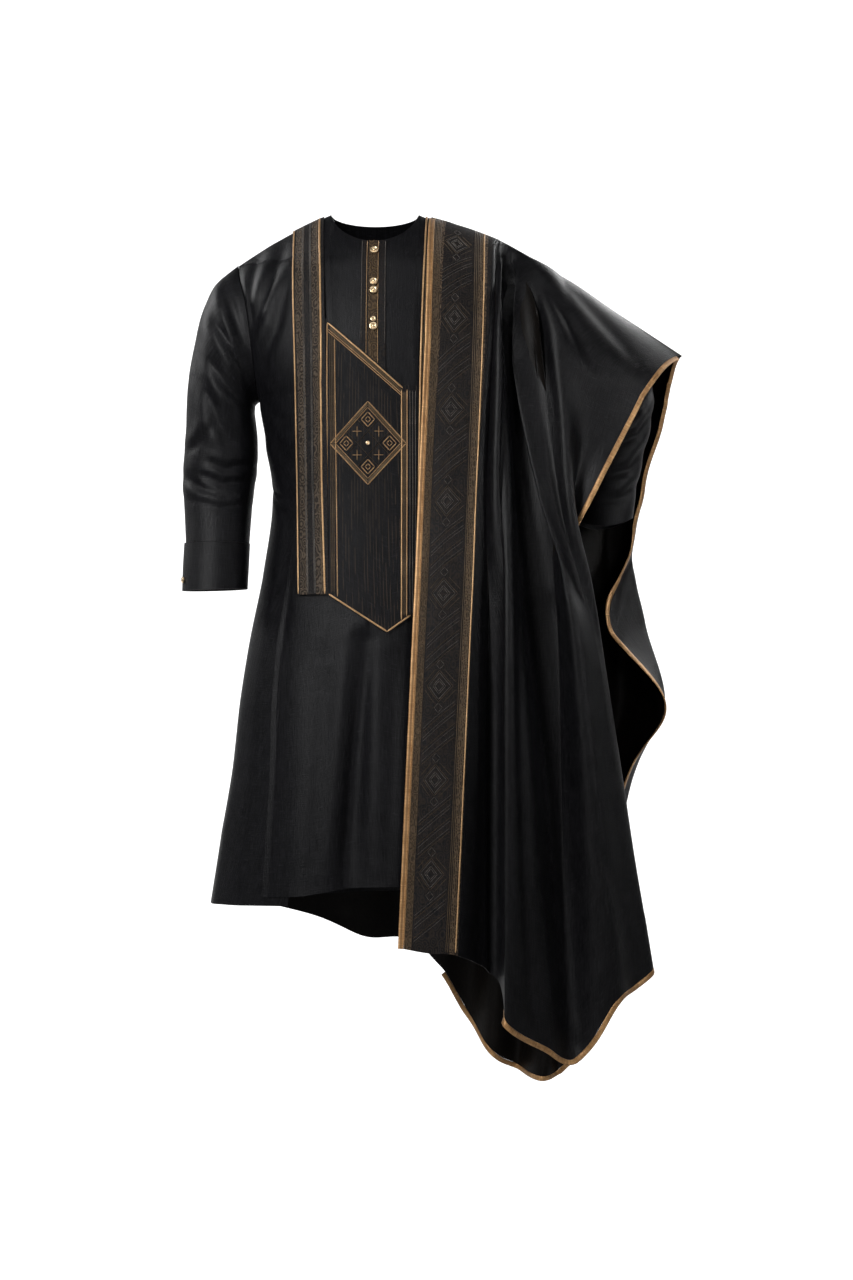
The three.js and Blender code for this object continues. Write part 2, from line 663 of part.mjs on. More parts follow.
// The pointed panel on the chest: a slanting top and a pointed foot
const chestPanelTop = [
  { x: -chestPanelMargin, z: -182 },
  { x: 43, z: -283 },
  { x: chestPanelMargin, z: -283 },
];
const chestPanelFoot = [
  { x: -chestPanelMargin, z: -589 },
  { x: -63, z: -594 },
  { x: 22, z: -648 },
  { x: 56, z: -624 },
  { x: chestPanelMargin, z: -620 },
];
function straightTable(table, x) {
  const place = placeInTable(table, "x", x);
  const row = Math.min(Math.floor(place), table.length - 2);
  return lerp(table[row].z, table[row + 1].z, place - row);
}
function chestPanelGrid() {
  const columnPlaces = [-chestPanelMargin, -63, -35, -7, 22, 43, 56, chestPanelMargin];
  return gridOf(places(0, 1, 9), columnPlaces, (x, down) => {
    const z = lerp(straightTable(chestPanelTop, x), straightTable(chestPanelFoot, x), down);
    return tunicAt(x, z, chestPanelLift + stripWall);
  });
}

// The buttoned placket down from the neck
function placketGrid() {
  return gridOf(places(0, 1, 12), places(placketLeft, placketRight, 3), (x, down) => {
    const z = lerp(-neckDepthFront - 1, placketEnd, down);
    return tunicAt(x, z, placketLift + stripWall);
  });
}

// A domed button with a rim, its axis along the cloth's normal
function buttonMesh(name, seat, outward, scale = 1) {
  const radius = buttonRadius * scale;
  const profile = [
    [0, 0],
    [radius * 0.8, 0],
    [radius, buttonHeight * 0.35],
    [radius * 0.9, buttonHeight * 0.8],
    [radius * 0.55, buttonHeight * 0.7],
    [radius * 0.3, buttonHeight],
    [0, buttonHeight],
  ];
  const geometry = new THREE.LatheGeometry(profile.map(([x, y]) => new THREE.Vector2(x, y)), 14);
  const mesh = meshOf(name, geometry, materials.button);
  mesh.quaternion.setFromUnitVectors(new THREE.Vector3(0, 1, 0), outward);
  mesh.position.copy(seat).addScaledVector(outward, seamGap * 1.4);
  return mesh;
}

// Finishes
const finish = (color, roughness, metalness) => new THREE.MeshStandardMaterial({ color, roughness, metalness });
const materials = {
  cloth: () => finish(0x17181c, 0.62, 0),
  embroidery: () => finish(0x2a2119, 0.7, 0),
  gold: () => finish(0x9a6a34, 0.45, 0.35),
  button: () => finish(0xe2bd84, 0.35, 0.5),
};

// Ways in which a cloth wall ends
const frontPiece = { seamSide: -1 };
const backPiece = { seamSide: 1 };
const tube = { closed: true };

function meshOf(name, geometry, material) {
  const mesh = new THREE.Mesh(geometry, material());
  mesh.name = name;
  return mesh;
}

function tunic() {
  const group = new THREE.Group();
  group.add(meshOf("tunic_front", clothGeometry(tunicFrontGrid, clothWall, frontPiece), materials.cloth));
  group.add(meshOf("tunic_back", clothGeometry(tunicBackGrid, clothWall, backPiece), materials.cloth));
  const rightRows = places(0, 10, 18);
  const rightSleeve = sleeveGrid(rightSleeveSections, -1, rightRows, 20);
  group.add(meshOf("right_sleeve", clothGeometry(rightSleeve, clothWall, tube), materials.cloth));
  const leftSleeve = sleeveGrid(leftSleeveSections, 1, places(0, 10, 16), 18);
  group.add(meshOf("left_sleeve", clothGeometry(leftSleeve, clothWall, tube), materials.cloth));
  const rightCuff = cuffGrid(rightCuffSections, -1, places(0, 2, 3), 20);
  group.add(meshOf("right_cuff", clothGeometry(rightCuff, bindingWall, tube), materials.cloth));
  group.add(meshOf("placket", clothGeometry(placketGrid(), stripWall), materials.embroidery));
  return group;
}

// Buttons on the placket, one row for each, and the one on the cuff
const buttonRows = [
  { z: -76, scale: 1 },
  { z: -127, scale: 0.9 },
  { z: -140.5, scale: 0.9 },
  { z: -185, scale: 0.6 },
  { z: -196, scale: 0.9 },
];
function buttons() {
  const group = new THREE.Group();
  buttonRows.forEach(({ z, scale }, index) => {
    const lift = placketLift + stripWall;
    const seat = tunicAt(1, z, lift);
    const outward = tunicAt(1, z, lift + 1).sub(seat).normalize();
    group.add(buttonMesh(`button_${index + 1}`, seat, outward, scale));
  });
  const seat = sleeveRing(rightCuffSections, 1.75, 0.03);
  const centre = sleeveRing(rightCuffSections, 1.75, 0.53).add(seat).multiplyScalar(0.5);
  const outward = seat.clone().sub(centre).setZ(0).normalize();
  group.add(buttonMesh("cuff_button", seat, outward, 0.75));
  return group;
}

function chestPieces() {
  const group = new THREE.Group();
  group.add(meshOf("chest_panel", clothGeometry(chestPanelGrid(), stripWall), materials.embroidery));
  group.add(meshOf("right_strip", clothGeometry(stripGrid(-1), stripWall, frontPiece), materials.embroidery));
  group.add(meshOf("left_strip", clothGeometry(stripGrid(1), stripWall, frontPiece), materials.embroidery));
  return group;
}

function robe() {
  const group = new THREE.Group();
  const band = clothGeometry(bandGrid, clothWall, { ...frontPiece, normals: bandNormals });
  group.add(meshOf("robe_band", band, materials.embroidery));
  const cape = clothGeometry(capeGrid, clothWall, { ...frontPiece, normals: capeNormals });
  group.add(meshOf("robe_front", cape, materials.cloth));
  group.add(meshOf("robe_back", clothGeometry(backGrid, clothWall, backPiece), materials.cloth));
  const end = robeRows.length - 1;
  const bindings = [
    { name: "band_binding", grid: bandGrid, side: "left", from: 1, to: end },
    { name: "sleeve_front_binding", grid: capeGrid, side: "right", from: 1, to: end },
    { name: "front_hem_binding", grid: capeGrid, side: "bottom", from: 5, to: 24 },
    { name: "sleeve_back_binding", grid: backGrid, side: "left", from: 1, to: end },
    { name: "back_hem_binding", grid: backGrid, side: "bottom", from: 0, to: 18 },
  ];
  bindings.forEach(({ name, grid, side, from, to }) => {
    const strip = edgeGrid(grid, side, from, to, bindingWidth);
    group.add(meshOf(name, clothGeometry(strip, bindingWall), materials.gold));
  });
  return group;
}

const agbada = new THREE.Group();
agbada.add(tunic(), chestPieces(), buttons(), robe());

export default agbada;
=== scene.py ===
import math

import bpy
import numpy as np
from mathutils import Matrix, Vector


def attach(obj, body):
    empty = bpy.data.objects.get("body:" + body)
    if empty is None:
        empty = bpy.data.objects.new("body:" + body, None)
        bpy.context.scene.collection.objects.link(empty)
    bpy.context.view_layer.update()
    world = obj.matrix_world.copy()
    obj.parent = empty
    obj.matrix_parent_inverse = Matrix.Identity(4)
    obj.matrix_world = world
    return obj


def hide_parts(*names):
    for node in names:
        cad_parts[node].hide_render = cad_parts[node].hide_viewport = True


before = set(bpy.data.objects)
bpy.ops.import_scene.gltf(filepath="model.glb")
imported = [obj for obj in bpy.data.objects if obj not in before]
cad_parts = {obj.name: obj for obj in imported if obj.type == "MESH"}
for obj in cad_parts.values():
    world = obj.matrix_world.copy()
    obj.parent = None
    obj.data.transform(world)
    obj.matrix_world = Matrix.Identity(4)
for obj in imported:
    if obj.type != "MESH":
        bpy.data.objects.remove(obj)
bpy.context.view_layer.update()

# Lengths below are millimetres, in the CAD's frame: x to the wearer's left, y to the back, z up.
metres = 0.001
clothWall = 1.4
cuffWall = 2
stripWall = 1.2
seamGap = 0.3
ridgeGap = 0.21
armholeGap = 0.72
seamReach = 3

# Tunic
neckHalfWidth = 67
neckDepthFront = 56
neckDepthBack = 14
neckRoundness = 0.6
shoulderTop = -2
shoulderSlope = 0.42
shoulderCurve = 0.0009
shoulderY = 6
shoulderRounding = 95
armholeTop = -80
armholeDepth = 210
armholeY = 8
armholeHalfDepth = 62
armholeBend = 62
fluteReach = (-560, -1000)
ventTop = -400
ventAngle = -48
ventOverlap = 12
ventInset = 3.6
rowSpread = 1.5
seamAngle = 0.1
justBehind = 90.001  # degrees: the first of the back's angles

# Strips over the tunic, and the robe's top line over the strips
stripLiftAtShoulder = 0.9
stripLift = 4.6
stripHem = -591
ridgeStart = 85
robeNeckDrop = 26
neckStand = 1.5
domeShare = 0.24

# Tunic body: level, half width, middle, depth at centre front and at centre back
tunicSections = np.array([
    (0, 213, 0, -40, 50),
    (-56, 213, 0, -64, 72),
    (-100, 207, 0, -84, 86),
    (-150, 194, 0, -102, 98),
    (-200, 187, 0, -113, 104),
    (-250, 182, 0, -118, 105),
    (-290, 179, 1, -118, 102),
    (-345, 171, 2, -117, 96),
    (-442, 162, 4, -115, 86),
    (-565, 176, 2, -122, 110),
    (-657, 192, -1, -128, 120),
    (-750, 204, -4, -134, 126),
    (-858, 212, -8, -141, 131),
    (-950, 225, -11, -146, 134),
    (-1072, 241, -14, -151, 138),
], float)

# Heights of the hem from one side of a panel to the other, evenly spaced
frontHem = [-1037, -1031, -1021, -1016, -1017, -1020, -1026, -1034, -1042]
backHem = [-1044, -1052, -1060, -1066, -1068, -1066, -1060, -1054, -1047]

# Flutes of the skirt: angle round the body, half width, depth at the hem
skirtFlutes = [
    (-22, 9, 9),
    (-3, 6, -9),
    (12, 8, 8),
    (52, 12, 9),
    (120, 9, 9),
    (150, 9, -9),
    (178, 10, 10),
    (212, 9, -10),
    (238, 9, 10),
    (282, 10, 9),
]

# Sleeves: outer edge x and z, inner edge x and z, middle y, half depth
rightSleeveSections = np.array([
    (-213, -80, -181, -290, 8, 62),
    (-244, -108, -185, -295, 8, 66),
    (-263, -145, -186, -302, 8, 66),
    (-277, -192, -186, -312, 9, 64),
    (-285, -245, -184, -326, 9, 61),
    (-290, -296, -182, -345, 10, 58),
    (-293, -346, -182, -374, 12, 56),
    (-297, -394, -184, -403, 13, 55),
    (-296, -430, -188, -431, 11, 53),
    (-293, -470, -191, -469, 4, 51),
    (-290, -509, -193, -509, -6, 49),
], float)
leftSleeveSections = np.array([
    (213, -80, 181, -290, 8, 62),
    (242, -102, 200, -289, 8, 62),
    (280, -127, 232, -284, 8, 58),
    (322, -156, 266, -282, 9, 54),
    (364, -188, 298, -287, 11, 51),
    (402, -222, 321, -299, 14, 49),
    (430, -266, 332, -318, 17, 48),
    (429, -318, 333, -348, 20, 47),
    (418, -368, 326, -386, 23, 46),
    (407, -420, 315, -430, 25, 45),
    (400, -468, 309, -472, 26, 45),
], float)
rightCuffSections = np.array([
    (-291, -509.6, -192, -509.6, -6, 50),
    (-292, -546, -193, -546, -14, 50),
    (-292, -583, -194, -580, -22, 50),
], float)

# Strips on the tunic front: level, inner and outer reach from the middle
stripSections = np.array([(0, 78, 126), (-250, 68, 115), (-600, 63, 109)], float)

# Top line of the robe: x and z
ridgeLine = np.array([
    (85, -4), (125, -16), (185, -37), (235, -64), (285, -95), (380, -157), (474, -219),
], float)

# Robe folds: x where each leaves the top line, how far its levels have sunk towards the open edge, its x
# and y on each level, and x, y and z at the hem. A level is its z at the first fold and at the last.
frontLevels = [(-215, -288), (-440, -491), (-570, -592), (-700, -716)]
frontFolds = [
    (93, 0, (85, -119), (75, -122), (70, -132), (64, -146), (46, -168, -1103)),
    (139, 0, (124, -114), (111, -124), (106, -134), (100, -147), (82, -170, -1109)),
    (185, 0, (170, -100), (154, -116), (149, -126), (143, -138), (125, -163, -1114)),
    (190, 0.02, (179, -89), (168, -97), (168, -100), (170, -104), (173, -111, -1150)),
    (196, 0.05, (189, -100), (188, -124), (192, -138), (195, -149), (193, -168, -1206)),
    (205, 0.1, (212, -86), (223, -98), (232, -104), (242, -112), (256, -128, -1254)),
    (212, 0.14, (219, -90), (238, -108), (254, -114), (270, -116), (303, -118, -1274)),
    (220, 0.18, (226, -98), (258, -122), (283, -124), (306, -124), (356, -112, -1193)),
    (234, 0.28, (246, -84), (276, -98), (304, -98), (330, -92), (390, -84, -1172)),
    (260, 0.45, (281, -92), (294, -104), (321, -92), (346, -70), (420, -60, -1151)),
    (352, 0.75, (340, -80), (288, -66), (302, -46), (322, -10), (396, -2, -1153)),
    (474, 1, (401, -62), (303, -84), (318, -54), (338, -18), (412, -10, -1158)),
]
backLevels = [(-290, -260), (-508, -480), (-628, -628), (-758, -745), (-905, -905)]
backFolds = [
    (474, 0, (460, 60), (407, 75), (370, 48), (457, 62), (390, 62), (338, 50, -1290)),
    (462, 0.05, (450, 76), (411, 94), (427, 92), (452, 84), (398, 86), (330, 78, -1302)),
    (420, 0.2, (402, 92), (372, 112), (388, 122), (396, 124), (362, 122), (292, 108, -1345)),
    (372, 0.3, (352, 88), (326, 92), (332, 98), (338, 98), (314, 98), (262, 88, -1352)),
    (318, 0.4, (304, 103), (281, 120), (280, 132), (282, 140), (268, 146), (228, 150, -1348)),
    (260, 0.5, (252, 94), (233, 98), (232, 112), (228, 118), (218, 126), (188, 130, -1322)),
    (200, 0.6, (198, 112), (186, 120), (182, 138), (178, 150), (170, 164), (148, 174, -1268)),
    (140, 0.7, (142, 106), (134, 104), (130, 128), (126, 140), (118, 150), (102, 160, -1190)),
    (86, 0.8, (88, 120), (82, 116), (78, 148), (72, 162), (62, 172), (48, 184, -1150)),
    (3, 0.9, (2, 116), (0, 103), (-6, 138), (-9, 150), (-14, 158), (-22, 168, -1143)),
    (-78, 1, (-76, 114), (-72, 108), (-78, 140), (-84, 154), (-90, 166), (-98, 174, -1112)),
    (-126, 1, (-138, 106), (-134, 90), (-150, 108), (-162, 120), (-176, 132), (-188, 142, -1082)),
]


# Sums on numbers and arrays
def lerp(a, b, share):
    return a + (b - a) * share


def smoothStep(start, end, value):
    share = np.clip((value - start) / (end - start), 0, 1)
    return share * share * (3 - 2 * share)


def unit(vectors):
    return vectors / np.maximum(np.linalg.norm(vectors, axis=-1, keepdims=True), 1e-9)


# A smooth curve through evenly spaced values, read at any places
def curveThrough(values, place):
    values = np.asarray(values, float)
    place = np.asarray(place, float)
    last = len(values) - 1
    start = np.clip(np.floor(place).astype(int), 0, last - 1)
    share = (place - start).reshape(place.shape + (1,) * (values.ndim - 1))
    slopes = np.gradient(values, axis=0)
    square = share * share
    cube = square * share
    return (
        (2 * cube - 3 * square + 1) * values[start]
        + (cube - 2 * square + share) * slopes[start]
        + (3 * square - 2 * cube) * values[start + 1]
        + (cube - square) * slopes[start + 1]
    )


def readTable(table, key, at):
    keys = table[:, key]
    order = 1 if keys[-1] > keys[0] else -1
    return curveThrough(table, np.interp(order * np.asarray(at, float), order * keys, np.arange(len(keys))))


def unitGrid(rows, columns):
    return np.meshgrid(np.linspace(0, 1, columns), np.linspace(0, 1, rows))


def gridNormals(grid, closed=False):
    drawn = np.concatenate([grid[:, -1:], grid, grid[:, :1]], axis=1) if closed else grid
    across = np.gradient(drawn, axis=1)
    return unit(np.cross(np.gradient(grid, axis=0), across[:, 1:-1] if closed else across))


def shoulderHeight(x):
    beyondNeck = np.maximum(np.abs(x) - neckHalfWidth, 0)
    return shoulderTop - shoulderSlope * beyondNeck - shoulderCurve * beyondNeck * beyondNeck


def topHeight(x, neckDepth):
    across = np.clip(x / neckHalfWidth, -1, 1)
    dip = shoulderTop - (neckDepth + shoulderTop) * np.power(1 - across * across, neckRoundness)
    return np.where(np.abs(x) >= neckHalfWidth, shoulderHeight(x), dip)


# The tunic body: angle 0 at the front, 90 at the wearer's left and 180 behind. Its top bends back to the
# shoulder line, and its sides open for the armholes.
def tunicBody(angle, z, inset=0):
    angle, z, inset = np.broadcast_arrays(np.asarray(angle, float), np.asarray(z, float), inset)
    angle = np.where(angle > 270, angle - 360, angle)
    level = readTable(tunicSections, 0, z)
    side = level[..., 1] - inset
    behind = angle > 90
    turned = np.where(behind, 180 - angle, angle)
    depth = np.where(behind, level[..., 4] - inset, level[..., 3] + inset)
    armholeMiddle = armholeTop - armholeDepth / 2
    inArmhole = np.clip((z - armholeMiddle) / (armholeDepth / 2), -1, 1)
    armholeBow = np.sqrt(1 - inArmhole * inArmhole)
    bend = np.where(z > armholeMiddle, armholeBend, lerp(90, armholeBend, armholeBow))
    edgeDepth = armholeY + np.where(behind, 1, -1) * armholeHalfDepth * armholeBow
    edgeY = np.where((z < armholeTop - armholeDepth) | (z > armholeTop), armholeY, edgeDepth)
    share = turned / 90
    swing = np.radians(np.where(np.abs(share) > 1, turned, share * bend))
    stop = np.radians(bend)
    x = level[..., 2] + side * np.sin(swing) / np.sin(stop)
    bow = (np.cos(swing) - np.cos(stop)) / (1 - np.cos(stop))
    flute = 0
    for middle, spread, push in skirtFlutes:
        away = ((angle - middle + 180) % 360 - 180) / spread
        flute = flute + push * np.exp(-away * away)
    outwards = -np.clip(np.cos(np.radians(angle)) * 4, -1, 1)
    flatY = lerp(edgeY, depth, bow) + flute * smoothStep(*fluteReach, z) * outwards
    below = np.clip((shoulderHeight(x) - z) / shoulderRounding, 0, 1)
    rounding = np.sqrt(1 - (1 - below) * (1 - below))
    return np.stack([x, lerp(shoulderY, flatY, rounding), z + 0 * x], axis=-1)


def frontEdgeAngle(z):
    return lerp(-90, ventAngle, smoothStep(ventTop, ventTop - 90, z)) + 8 * smoothStep(-620, -1050, z)


# The height where a column of the body meets the neck or the shoulder line, found step by step
def columnTop(angle, neckDepth):
    z = np.zeros_like(angle)
    for step in range(8):
        z = topHeight(tunicBody(angle, z)[..., 0], neckDepth)
    return z


def hangingRows(across, down, fromAngle, toAngle, neckDepth, hem):
    top = columnTop(lerp(fromAngle, toAngle, across), neckDepth)
    return lerp(top, curveThrough(hem, across * (len(hem) - 1)), np.power(down, rowSpread))


def tunicFrontGrid(rows, columns):
    across, down = unitGrid(rows, columns)
    z = hangingRows(across, down, -90, 90, neckDepthFront, frontHem)
    grid = tunicBody(lerp(frontEdgeAngle(z) + seamAngle, 90 - seamAngle, across), z)
    grid[..., 1] -= seamGap / 2 * (1 - smoothStep(0, 0.02, down))
    return grid


def tunicBackGrid(rows, columns):
    across, down = unitGrid(rows, columns)
    z = hangingRows(across, down, 90, 270, neckDepthBack, backHem)
    edge = 360 + frontEdgeAngle(z)
    end = edge + ventOverlap * smoothStep(ventTop - 32, ventTop - 120, z)
    angle = lerp(90 + seamAngle, end - seamAngle, across)
    tucked = smoothStep(edge - 14, edge - 3, angle) * smoothStep(ventTop + 95, ventTop + 25, z)
    grid = tunicBody(angle, z, ventInset * tucked)
    grid[..., 1] += seamGap / 2 * (1 - smoothStep(0, 0.02, down))
    return grid


# Points on the tunic at distances from the middle, moved out from the cloth
def tunicAt(x, z, lift, behind=False):
    x, z = np.broadcast_arrays(np.asarray(x, float), np.asarray(z, float))
    low = np.full(x.shape, 180.0 if behind else 0.0)
    middleX = tunicBody(low, z)[..., 0]
    high = np.where(x > middleX, 90.0, 270.0 if behind else -90.0)
    wanted = np.abs(x - middleX)
    for halving in range(22):
        tried = (low + high) / 2
        short = np.abs(tunicBody(tried, z)[..., 0] - middleX) < wanted
        low = np.where(short, tried, low)
        high = np.where(short, high, tried)
    angle = (low + high) / 2
    sideways = tunicBody(angle + 0.5, z) - tunicBody(angle - 0.5, z)
    downwards = tunicBody(angle, z - 1) - tunicBody(angle, z + 0.2)
    return tunicBody(angle, z) + unit(np.cross(downwards, sideways)) * np.asarray(lift, float)[..., None]


def sleeveRing(sections, row, turn):
    outerX, outerZ, innerX, innerZ, y, halfDepth = np.moveaxis(curveThrough(sections, row), -1, 0)
    swing = turn * 2 * np.pi
    share = (1 + np.cos(swing)) / 2
    ringY = y - halfDepth * np.sin(swing)
    return np.stack([lerp(innerX, outerX, share), ringY, lerp(innerZ, outerZ, share)], axis=-1)


def armholePoint(sideSign, turn):
    swing = turn * 2 * np.pi
    z = armholeTop - armholeDepth / 2 * (1 - np.cos(swing))
    inFront = np.sin(swing) >= 0
    points = tunicBody(np.where(inFront, 90 * sideSign, justBehind if sideSign > 0 else 270), z)
    if sideSign < 0:
        points[..., 1] = np.where(inFront, points[..., 1], tunicBody(justBehind, z)[..., 1])
    points[..., 0] += sideSign * armholeGap
    return points


def tubeGrid(sections, sideSign, rows, columns, fromArmhole=True):
    turns = np.arange(columns) / columns
    turn, row = np.meshgrid(turns if sideSign < 0 else 1 - turns, np.linspace(0, len(sections) - 1, rows))
    ring = sleeveRing(sections, row, turn)
    if fromArmhole:
        ring = lerp(armholePoint(sideSign, turn), ring, smoothStep(0, 1.2, row)[..., None])
    return ring


# The robe's top line, in front of the shoulder seam or behind it
def ridgePoints(x, side):
    y = shoulderY + side * ridgeGap + 0 * x
    return np.stack([x, y, readTable(ridgeLine, 0, x)[..., 1]], axis=-1)


def backTop(x):
    half = (ridgeStart + stripSections[0, 1]) / 2
    across = np.clip((x - (ridgeStart - half)) / half, -1, 1)
    neckDrop = robeNeckDrop * np.power(1 - across * across, neckRoundness)
    lift = stripLiftAtShoulder + stripWall + neckStand
    shoulder = tunicAt(x, np.minimum(shoulderHeight(x) - 0.01, -8 - neckDrop), lift, behind=True)
    shoulder[..., 1] = np.maximum(shoulder[..., 1], shoulderY + ridgeGap)
    return np.where((x > ridgeStart)[..., None], ridgePoints(np.maximum(x, ridgeStart), 1), shoulder)


# The robe's columns leave the top line level, round over the arm and then hang through the folds
def foldedSheet(folds, levels, topAt, rounding, across, down):
    controls = np.array([
        [(*point, lerp(*level, sunk)) for point, level in zip(points, levels)] + [hem]
        for ridge, sunk, *points, hem in folds
    ], float)
    top = topAt(curveThrough([fold[0] for fold in folds], across))[None]
    hanging = np.swapaxes(curveThrough(controls, across), 0, 1)
    first = hanging[0][None]
    share = np.clip(down / domeShare, 0, 1)[:, None]
    swing = share * np.pi / 2
    overArm = np.stack([
        lerp(top[..., 0], first[..., 0], share),
        lerp(top[..., 1], first[..., 1], np.power(np.sin(swing), rounding)),
        lerp(top[..., 2], first[..., 2], 1 - np.cos(swing)),
    ], axis=-1)
    below = np.clip((down - domeShare) / (1 - domeShare), 0, 1) * (len(hanging) - 1)
    return np.where((down < domeShare)[:, None, None], overArm, curveThrough(hanging, below))


# A crease along a line in x and z: a trough with a ridge beside it. A negative depth raises it.
def crease(width, depth, *line, taper=0.7, ridge=0.6):
    return np.array(line, float), width, depth, taper, ridge


def creaseOffsets(grid, creases):
    offsets = np.zeros(grid.shape[:2])
    place = grid[..., (0, 2)]
    for line, width, depth, taper, ridge in creases:
        steps = np.linalg.norm(np.diff(line, axis=0), axis=1)
        whole = steps.sum()
        nearest = np.full(offsets.shape, 1e9)
        signed = np.zeros(offsets.shape)
        along = np.zeros(offsets.shape)
        for index, (start, end) in enumerate(zip(line[:-1], line[1:])):
            way = (end - start) / steps[index]
            offset = place - start
            onLine = np.clip(offset @ way, 0, steps[index])
            apart = offset - onLine[..., None] * way
            distance = np.linalg.norm(apart, axis=-1)
            closer = distance < nearest
            nearest = np.where(closer, distance, nearest)
            side = np.sign(apart[..., 0] * way[1] - apart[..., 1] * way[0])
            signed = np.where(closer, distance * side, signed)
            along = np.where(closer, (steps[:index].sum() + onLine) / whole, along)
        ends = np.power(np.sin(np.pi * np.clip(along, 0.02, 0.98)), taper)
        trough = np.exp(-np.square(signed / width))
        beside = np.exp(-np.square((signed - 1.8 * width) / (1.3 * width)))
        beyond = np.exp(-np.square(np.maximum(nearest - 3.4 * width, 0) / width))
        offsets += depth * ends * beyond * (ridge * beside - trough)
    return offsets


# Creases fade to nothing at the edges that are sewn. Each side's reach is a share of the grid.
def edgeFade(grid, top, left=0.0, right=0.0, bottom=0.0):
    across, down = unitGrid(*grid.shape[:2])
    fade = np.ones(grid.shape[:2])
    for reach, distance in ((left, across), (right, 1 - across), (top, down), (bottom, 1 - down)):
        if reach:
            fade = fade * smoothStep(0, reach, distance)
    return fade


def creased(grid, creases, fade, closed=False, waves=0.0):
    offsets = (creaseOffsets(grid, creases) + waves) * fade
    return grid + gridNormals(grid, closed) * offsets[..., None]


# Meshes
pieces = {}


def indexOf(grid, base=0):
    return base + np.arange(grid.shape[0] * grid.shape[1]).reshape(grid.shape[:2])


def quadsOf(index):
    return np.stack([index[:-1, :-1], index[1:, :-1], index[1:, 1:], index[:-1, 1:]], axis=-1).reshape(-1, 4)


def addObject(name, points, faces, material, uvs=None, sharp=50):
    mesh = bpy.data.meshes.new(name)
    mesh.from_pydata((np.asarray(points) * metres).tolist(), [], faces.tolist())
    if uvs is not None:
        layer = mesh.uv_layers.new(name="cloth")
        layer.uv.foreach_set("vector", (uvs * metres).astype(np.float32).ravel())
    mesh.materials.append(material)
    mesh.shade_smooth()
    mesh.set_sharp_from_angle(angle=math.radians(sharp))
    piece = bpy.data.objects.new(name, mesh)
    bpy.context.scene.collection.objects.link(piece)
    return piece


# Lengths from the first row, and from the first column
def lengthsAlong(points):
    steps = np.linalg.norm(np.diff(points, axis=0), axis=-1)
    return np.concatenate([np.zeros((1,) + steps.shape[1:]), np.cumsum(steps, axis=0)])


def lengthsAcross(grid):
    return np.swapaxes(lengthsAlong(np.swapaxes(grid, 0, 1)), 0, 1)


# A closed cloth wall whose outer face runs through the grid, in millimetres and with flat coordinates of
# true length. seamSide keeps the inner face on its own side of the shoulder seam.
def clothShell(name, grid, wall, material, closed=False, seamSide=0, normals=None, shadedLining=None):
    normals = gridNormals(grid, closed) if normals is None else normals
    inner = grid - wall * normals
    if seamSide:
        atSeam = np.abs(grid[..., 1] - shoulderY) < seamReach
        held = seamSide * np.maximum(seamSide * inner[..., 1], seamSide * grid[..., 1])
        inner[..., 1] = np.where(atSeam, held, inner[..., 1])
    outerIndex = indexOf(grid)
    drawn = grid
    if closed:
        outerIndex = np.hstack([outerIndex, outerIndex[:, :1]])
        drawn = np.concatenate([grid, grid[:, :1]], axis=1)
    innerIndex = outerIndex + grid.shape[0] * grid.shape[1]
    width = lengthsAcross(drawn)
    across = width - width[:, -1:] / 2
    down = np.broadcast_to(lengthsAlong(drawn[:, drawn.shape[1] // 2])[:, None], across.shape)
    flat = np.stack([across, -down], axis=-1)
    flatIndex = indexOf(flat)
    faces = [quadsOf(outerIndex), quadsOf(innerIndex)[:, ::-1]]
    corners = [quadsOf(flatIndex), quadsOf(flatIndex)[:, ::-1]]
    layers = np.stack([outerIndex, innerIndex, flatIndex])
    rims = [layers[:, 0], layers[:, -1, ::-1]]
    if not closed:
        rims += [layers[:, ::-1, 0], layers[:, :, -1]]
    for outer, within, onFlat in rims:
        faces.append(np.stack([outer[:-1], outer[1:], within[1:], within[:-1]], axis=-1))
        corners.append(np.stack([onFlat[:-1], onFlat[1:], onFlat[1:], onFlat[:-1]], axis=-1))
    points = np.concatenate([grid.reshape(-1, 3), inner.reshape(-1, 3)])
    uvs = flat.reshape(-1, 2)[np.concatenate(corners).ravel()]
    diagonals = np.cross(drawn[1:, 1:] - drawn[:-1, :-1], drawn[1:, :-1] - drawn[:-1, 1:])
    area = np.linalg.norm(diagonals, axis=-1).sum() / 2 * metres * metres
    print(f"{name}: {width.max():.0f} mm at its widest, {lengthsAlong(drawn).max():.0f} mm at its longest,",
          f"{area:.4f} square metres")
    piece = pieces[name] = addObject(name, points, np.concatenate(faces), material, uvs)
    # The inner faces take the lining, whose darkness is partly painted shade
    if shadedLining:
        piece.data.materials.append(shadedLining)
        inside = np.zeros(len(piece.data.polygons), np.int32)
        inside[len(faces[0]):len(faces[0]) + len(faces[1])] = 1
        piece.data.polygons.foreach_set("material_index", inside)


# A grid's value between its points
def readGrid(grid, column, row):
    rows, columns = grid.shape[:2]
    column = np.clip(column, 0, columns - 1.000001)
    row = np.clip(row, 0, rows - 1.000001)
    c, r = np.floor(column).astype(int), np.floor(row).astype(int)
    u, v = (column - c)[..., None], (row - r)[..., None]
    upper = lerp(grid[r, c], grid[r, c + 1], u)
    lower = lerp(grid[r + 1, c], grid[r + 1, c + 1], u)
    return lerp(upper, lower, v)


# A surface in lengths: millimetres from its left edge and from its top
def surfaceOf(grid):
    normals = gridNormals(grid)
    down = lengthsAlong(grid[:, grid.shape[1] // 2])
    width = lengthsAcross(grid)[:, -1]

    def at(across, along, lift):
        row = np.interp(along, down, np.arange(len(down)))
        wide = np.interp(row, np.arange(len(width)), width)
        column = across / wide * (grid.shape[1] - 1)
        return readGrid(grid, column, row) + readGrid(normals, column, row) * lift

    return at


threadForm = {"sink": 0.25, "endSize": 0.35, "roundLength": 4}


